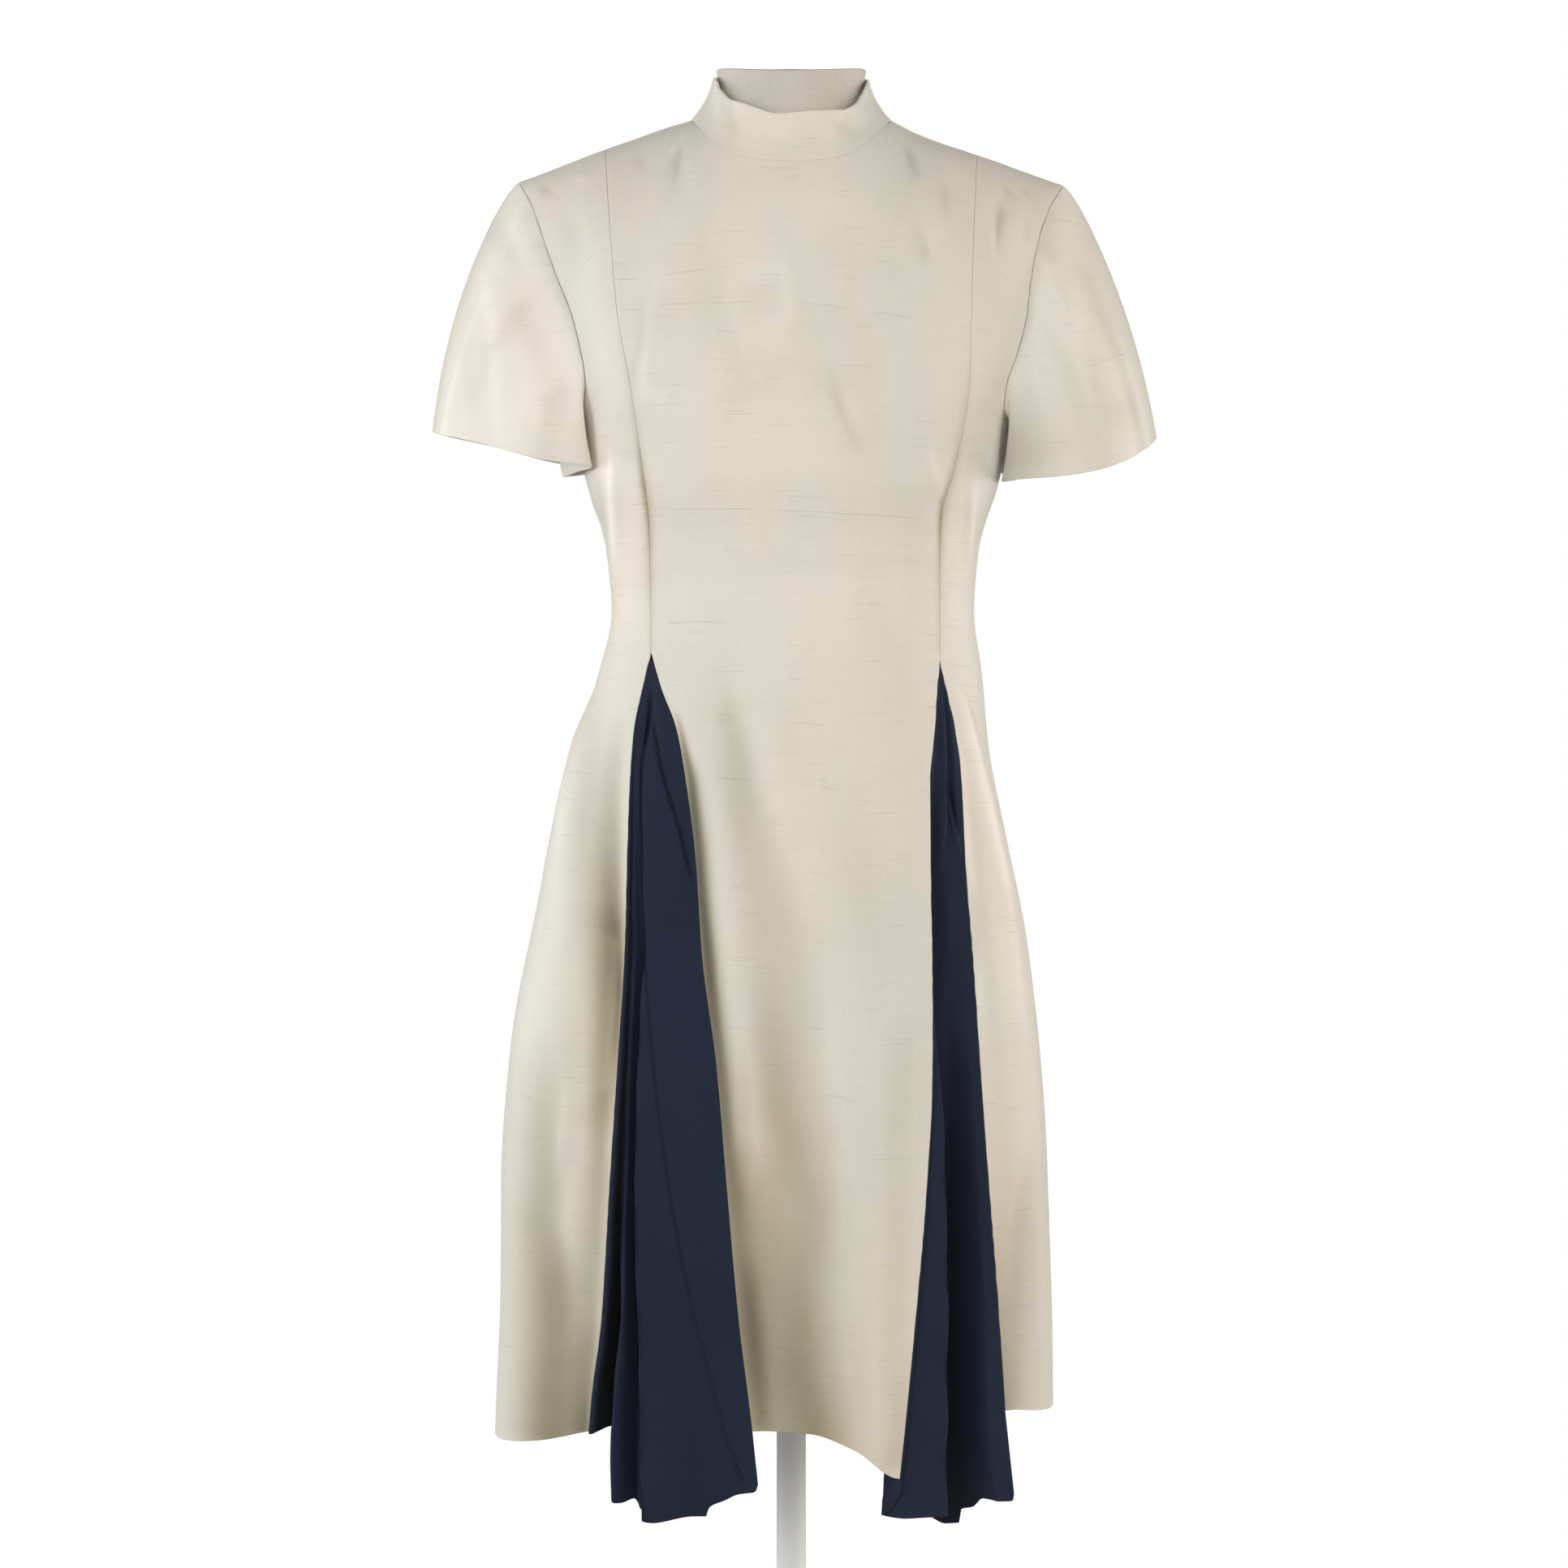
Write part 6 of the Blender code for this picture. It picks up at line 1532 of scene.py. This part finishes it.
# %% The torso
FORM_RINGS = table(
    "z_front z_side z_back  half    front  back   square",
    (1.4462, 1.4550, 1.4640, 0.0566, 0.052, 0.043, 2.0),
    (1.4250, 1.4400, 1.4500, 0.0550, 0.052, 0.044, 2.0),
    (1.4020, 1.4220, 1.4320, 0.0580, 0.054, 0.048, 2.0),
    (1.3720, 1.4110, 1.4150, 0.0740, 0.060, 0.058, 2.0),
    (1.3350, 1.3902, 1.3700, 0.1350, 0.074, 0.084, 1.8),
    (1.2900, 1.3620, 1.3100, 0.1950, 0.088, 0.094, 1.8),
    (1.2500, 1.3200, 1.2600, 0.1780, 0.100, 0.099, 1.9),
    (1.2150, 1.2500, 1.2150, 0.1460, 0.108, 0.096, 2.1),
    (1.1850, 1.1850, 1.1850, 0.1480, 0.112, 0.093, 2.25),
    (1.1460, 1.1460, 1.1460, 0.1450, 0.112, 0.087, 2.25),
    (1.0900, 1.0900, 1.0900, 0.1300, 0.098, 0.077, 2.25),
    (1.0450, 1.0450, 1.0450, 0.1260, 0.087, 0.073, 2.25),
    (0.9980, 0.9980, 0.9980, 0.1310, 0.091, 0.082, 2.25),
    (0.9430, 0.9430, 0.9430, 0.1360, 0.096, 0.094, 2.25),
    (0.8750, 0.8750, 0.8750, 0.1400, 0.098, 0.100, 2.25),
    (0.8200, 0.8200, 0.8200, 0.1380, 0.094, 0.098, 2.25),
    (0.8000, 0.8000, 0.8000, 0.1300, 0.088, 0.092, 2.25))
RIM_SHARE, RIM_DROP = 0.0012 / 0.056, 0.001   # how the top's edge is rounded, inwards and downwards
FORM_TILT_POWER = 1.6    # how late a ring turns from its side's height to its front's or back's
POLE_RADIUS = 0.0110
POLE_SOCKET_TOP = 0.870
FIT_GAP = 0.0003


def form_rings(count, columns):
    """Rings of the torso. Each is a squarish oval whose height turns from front to side to back."""
    place = np.linspace(0, 1, len(FORM_RINGS["half"]))
    at = np.linspace(0, 1, count)
    sizes = {name: smooth(place, FORM_RINGS[name], at)[:, None] for name in FORM_RINGS}
    turn = np.linspace(0, 2 * np.pi, columns, endpoint=False)[None, :]
    power = 2 / sizes["square"]
    x = sizes["half"] * np.sign(np.sin(turn)) * np.abs(np.sin(turn)) ** power
    ahead = np.sign(np.cos(turn)) * np.abs(np.cos(turn)) ** power
    y = -np.where(ahead > 0, sizes["front"], sizes["back"]) * ahead
    end = np.where(ahead > 0, sizes["z_front"], sizes["z_back"])
    z = sizes["z_side"] + (end - sizes["z_side"]) * np.abs(np.cos(turn)) ** FORM_TILT_POWER
    return np.stack([x, y, z], axis=-1)


# %% Rings joined to a solid
def turned_mesh(name, rings, material, slot):
    """A closed solid through rings of equal counts, with both ends drawn in and closed by quads."""
    rings = [np.asarray(r, float) for r in rings]
    for end in (0, -1):
        centre = rings[end].mean(axis=0)
        cap = [centre + (rings[end] - centre) * s for s in (0.7, 0.4, 0.15, 0.002)]
        rings = cap[::-1] + rings if end == 0 else rings + cap
    points = np.array(rings)
    rows, columns = points.shape[:2]
    quads = grid_quads(rows, columns, closed=True)
    loop = np.concatenate([points, points[:, :1]], axis=1)
    uv = np.stack([running(loop, 1), -running(loop, 0)], -1)
    corners = grid_quads(rows, columns + 1)
    all_uv = uv.reshape(-1, 2)[corners]
    ends = []
    for row in (0, rows - 1):
        c = row * columns + np.arange(columns)
        half = columns // 2
        ends.append(np.stack([c[np.arange(half - 1)], c[np.arange(1, half)],
                              c[columns - 1 - np.arange(1, half)], c[columns - 1 - np.arange(half - 1)]], -1)
                    [:, ::-1 if row else 1])
    quads = np.concatenate([quads] + ends)
    all_uv = np.concatenate([all_uv, np.zeros((2 * (columns // 2 - 1), 4, 2))])
    near = points[:-1, :-1]
    out = np.cross(points[1:, :-1] - near, points[:-1, 1:] - near)
    if np.sum(out * (near - points.mean(axis=(0, 1)))) > 0:
        quads, all_uv = quads[:, ::-1], all_uv[:, ::-1]
    return make_mesh(name, points, quads, all_uv, material, "dress", slot)


def circle(radius, z, sides):
    """A level ring about the stand's axis, which starts in front."""
    turn = np.linspace(0, 2 * np.pi, sides, endpoint=False)
    return np.stack([radius * np.sin(turn), -radius * np.cos(turn), z + 0 * turn], axis=-1)


torso = form_rings(150, 128)
rim = torso[0]
centre = rim.mean(axis=0)
cap_rings = [centre + (rim - centre) * (1 - RIM_SHARE * (1 - np.sin(a))) - (0, 0, RIM_DROP * (1 - np.cos(a)))
             for a in np.linspace(0, np.pi / 2, 7)]
bottom = FORM_RINGS["z_front"][-1]
socket = [circle(POLE_RADIUS + FIT_GAP, z, 128) for z in (bottom, POLE_SOCKET_TOP + FIT_GAP)]
form = turned_mesh("form_cover", cap_rings + list(torso[3:]) + socket, COVER, "form_cover")
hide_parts("form_torso")
print("form", torso.shape)

# %% The stand
BASE_RADIUS, BASE_HEIGHT = 0.170, 0.010
BOSS_RADIUS, BOSS_HEIGHT = 0.026, 0.030


def corner(radius_out, z_out, radius_in, z_in, steps=5):
    """Rings round a corner: a quarter circle between two places, given as radius and height."""
    a = np.linspace(0, np.pi / 2, steps)
    return [(radius_in + (radius_out - radius_in) * np.cos(t), z_out + (z_in - z_out) * np.sin(t)) for t in a]


profile = ([(BASE_RADIUS - 0.001, 0.0), (BASE_RADIUS, 0.0015)]
           + corner(BASE_RADIUS, BASE_HEIGHT - 0.003, BASE_RADIUS - 0.006, BASE_HEIGHT)
           + [(BOSS_RADIUS + 0.006, BASE_HEIGHT)]
           + corner(BOSS_RADIUS, BASE_HEIGHT + 0.004, BOSS_RADIUS + 0.006, BASE_HEIGHT)[::-1]
           + corner(BOSS_RADIUS, BOSS_HEIGHT - 0.003, BOSS_RADIUS - 0.004, BOSS_HEIGHT)
           + [(POLE_RADIUS + FIT_GAP + 0.001, BOSS_HEIGHT), (POLE_RADIUS + FIT_GAP, BOSS_HEIGHT - 0.001),
              (POLE_RADIUS + FIT_GAP, BASE_HEIGHT - FIT_GAP)])
base_piece = turned_mesh("painted_base", [circle(r, z, 96) for r, z in profile], PAINT, "stand_paint")
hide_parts("stand_base")
pole_rings = [circle(POLE_RADIUS, z, 48) for z in np.linspace(BASE_HEIGHT, POLE_SOCKET_TOP, 12)]
pole = turned_mesh("painted_pole", pole_rings, PAINT, "stand_paint")
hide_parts("stand_pole")
print("base of", len(profile), "rings, pole of", len(pole_rings))

# %% The slider and the pull keep their CAD shape
for name in ("zip_slider", "zip_pull"):
    part = nodes[name]
    for index in range(len(part.material_slots)):
        part.material_slots[index].material = METAL
    print(name, "box", np.round([list(c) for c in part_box(name)], 4).tolist())

# %% [markdown]
# ## Cut sizes
#
# A sheet of cloth keeps its area when it is hung. These are the flat sizes that show, without seam
# allowances: the widest and the longest line of each piece, and its area.

# %% The flat sizes of each piece of cloth
for name, piece in cloth.items():
    grid = surface[name]
    across, down = running(grid, 1)[:, -1], running(grid, 0)[-1]
    width, length, area = float(across.max()), float(down.max()), cloth_area(grid)
    print(name, "flat", round(width, 3), "x", round(length, 3), "area", round(area, 4))

# %% [markdown]
# ## Light, floor and camera
#
# The photograph is a cut-out on white with soft shades on both sides of every fold. Six wide round
# lamps give this: one in front, a cooler one from the left and a warmer one from the right, two
# behind the edges and one for the back. One large lamp would leave a side of each fold too dark. The
# camera sees a white room, which lights the cloth only faintly. The floor is a pale disc that fades
# out, so that a camera at floor level still sees clean white.

# %% Lamps, all aimed at the middle of the dress
LAMP_TARGET = (0.0, 0.0, 1.1)
LAMPS = {                    # place, width, power and colour
    "front_light": ((-0.3, -2.3, 1.7), 1.4, 24.3, (1.0, 0.985, 0.965)),
    "left_light": ((-2.25, -1.3, 1.45), 2.4, 39.5, (0.925, 0.965, 1.0)),
    "right_light": ((2.25, -1.3, 1.45), 2.4, 34.7, (1.0, 0.965, 0.91)),
    "left_edge_light": ((-2.2, 0.8, 1.2), 1.2, 21.0, (1.0, 1.0, 1.0)),
    "right_edge_light": ((2.2, 0.8, 1.2), 1.2, 22.0, (1.0, 0.99, 0.97)),
    "back_light": ((0.2, 2.6, 1.8), 1.4, 30.0, (1.0, 1.0, 1.0))}
for name, (place, width, power, colour) in LAMPS.items():
    lamp = bpy.data.lights.new(name, "AREA")
    lamp.shape, lamp.size, lamp.energy, lamp.color = "DISK", width, power, colour
    holder = bpy.data.objects.new(name, lamp)
    bpy.context.collection.objects.link(holder)
    holder.location = place
    holder.rotation_euler = (Vector(LAMP_TARGET) - Vector(place)).to_track_quat("-Z", "Y").to_euler()
print("lamps", list(LAMPS))

# %% A room that is white to the camera and dim to the cloth
ROOM_LIGHT = 0.08
world = bpy.data.worlds.new("white_room")
bpy.context.scene.world = world
world.use_nodes = True
sky = world.node_tree
dim, white = sky.nodes["Background"], sky.nodes.new("ShaderNodeBackground")
for background, strength in ((dim, ROOM_LIGHT), (white, 1.0)):
    background.inputs["Color"].default_value = (1.0, 1.0, 1.0, 1.0)
    background.inputs["Strength"].default_value = strength
path, chooser = sky.nodes.new("ShaderNodeLightPath"), sky.nodes.new("ShaderNodeMixShader")
sky.links.new(path.outputs["Is Camera Ray"], chooser.inputs[0])
sky.links.new(dim.outputs[0], chooser.inputs[1])
sky.links.new(white.outputs[0], chooser.inputs[2])
sky.links.new(chooser.outputs[0], sky.nodes["World Output"].inputs["Surface"])
print("room light", ROOM_LIGHT)

# %% Floor
FLOOR_RADIUS = 1.6
FLOOR_Z = -0.0005        # just below the base, so that the two faces don't flicker
pale = Finish("floor", Roughness=0.8)
place = pale.node("ShaderNodeTexCoord", output=3)
distance = pale.node("ShaderNodeVectorMath", {"operation": "LENGTH"}, {0: place}, 1)
cloud = pale.stretched(place, (3.0, 3.0, 3.0), flat=False)
pale.feed("Base Color", pale.blend(cloud, (0.86, 0.86, 0.86, 1.0), (0.90, 0.90, 0.89, 1.0)))
pale.feed("Alpha", 1.0 - pale.ramp(distance, 0.7, 1.5))
rings = np.array([circle(r, FLOOR_Z, 96) for r in np.linspace(0.02, FLOOR_RADIUS, 12)])
floor_mesh = bpy.data.meshes.new("floor")
floor_mesh.from_pydata(rings.reshape(-1, 3), [], grid_quads(12, 96, closed=True))
floor_mesh.materials.append(pale.material)
floor = bpy.data.objects.new("floor", floor_mesh)
bpy.context.collection.objects.link(floor)
print("floor", rings.shape)

# %% Camera, level with the middle of the dress and three metres in front of it
camera_data = bpy.data.cameras.new("photo_camera")
camera_data.sensor_width = camera_data.sensor_height = 36.0
camera_data.lens = 90.9
camera = bpy.data.objects.new("photo_camera", camera_data)
camera.location = (-0.0055, -3.0, 0.9145)
camera.rotation_euler = (np.pi / 2, 0.0, 0.0)
bpy.context.collection.objects.link(camera)
bpy.context.scene.camera = camera
bpy.context.scene.view_settings.view_transform = "Standard"
print("camera at", np.round(camera.location, 4).tolist(), "with a lens of", round(camera_data.lens, 1), "mm")
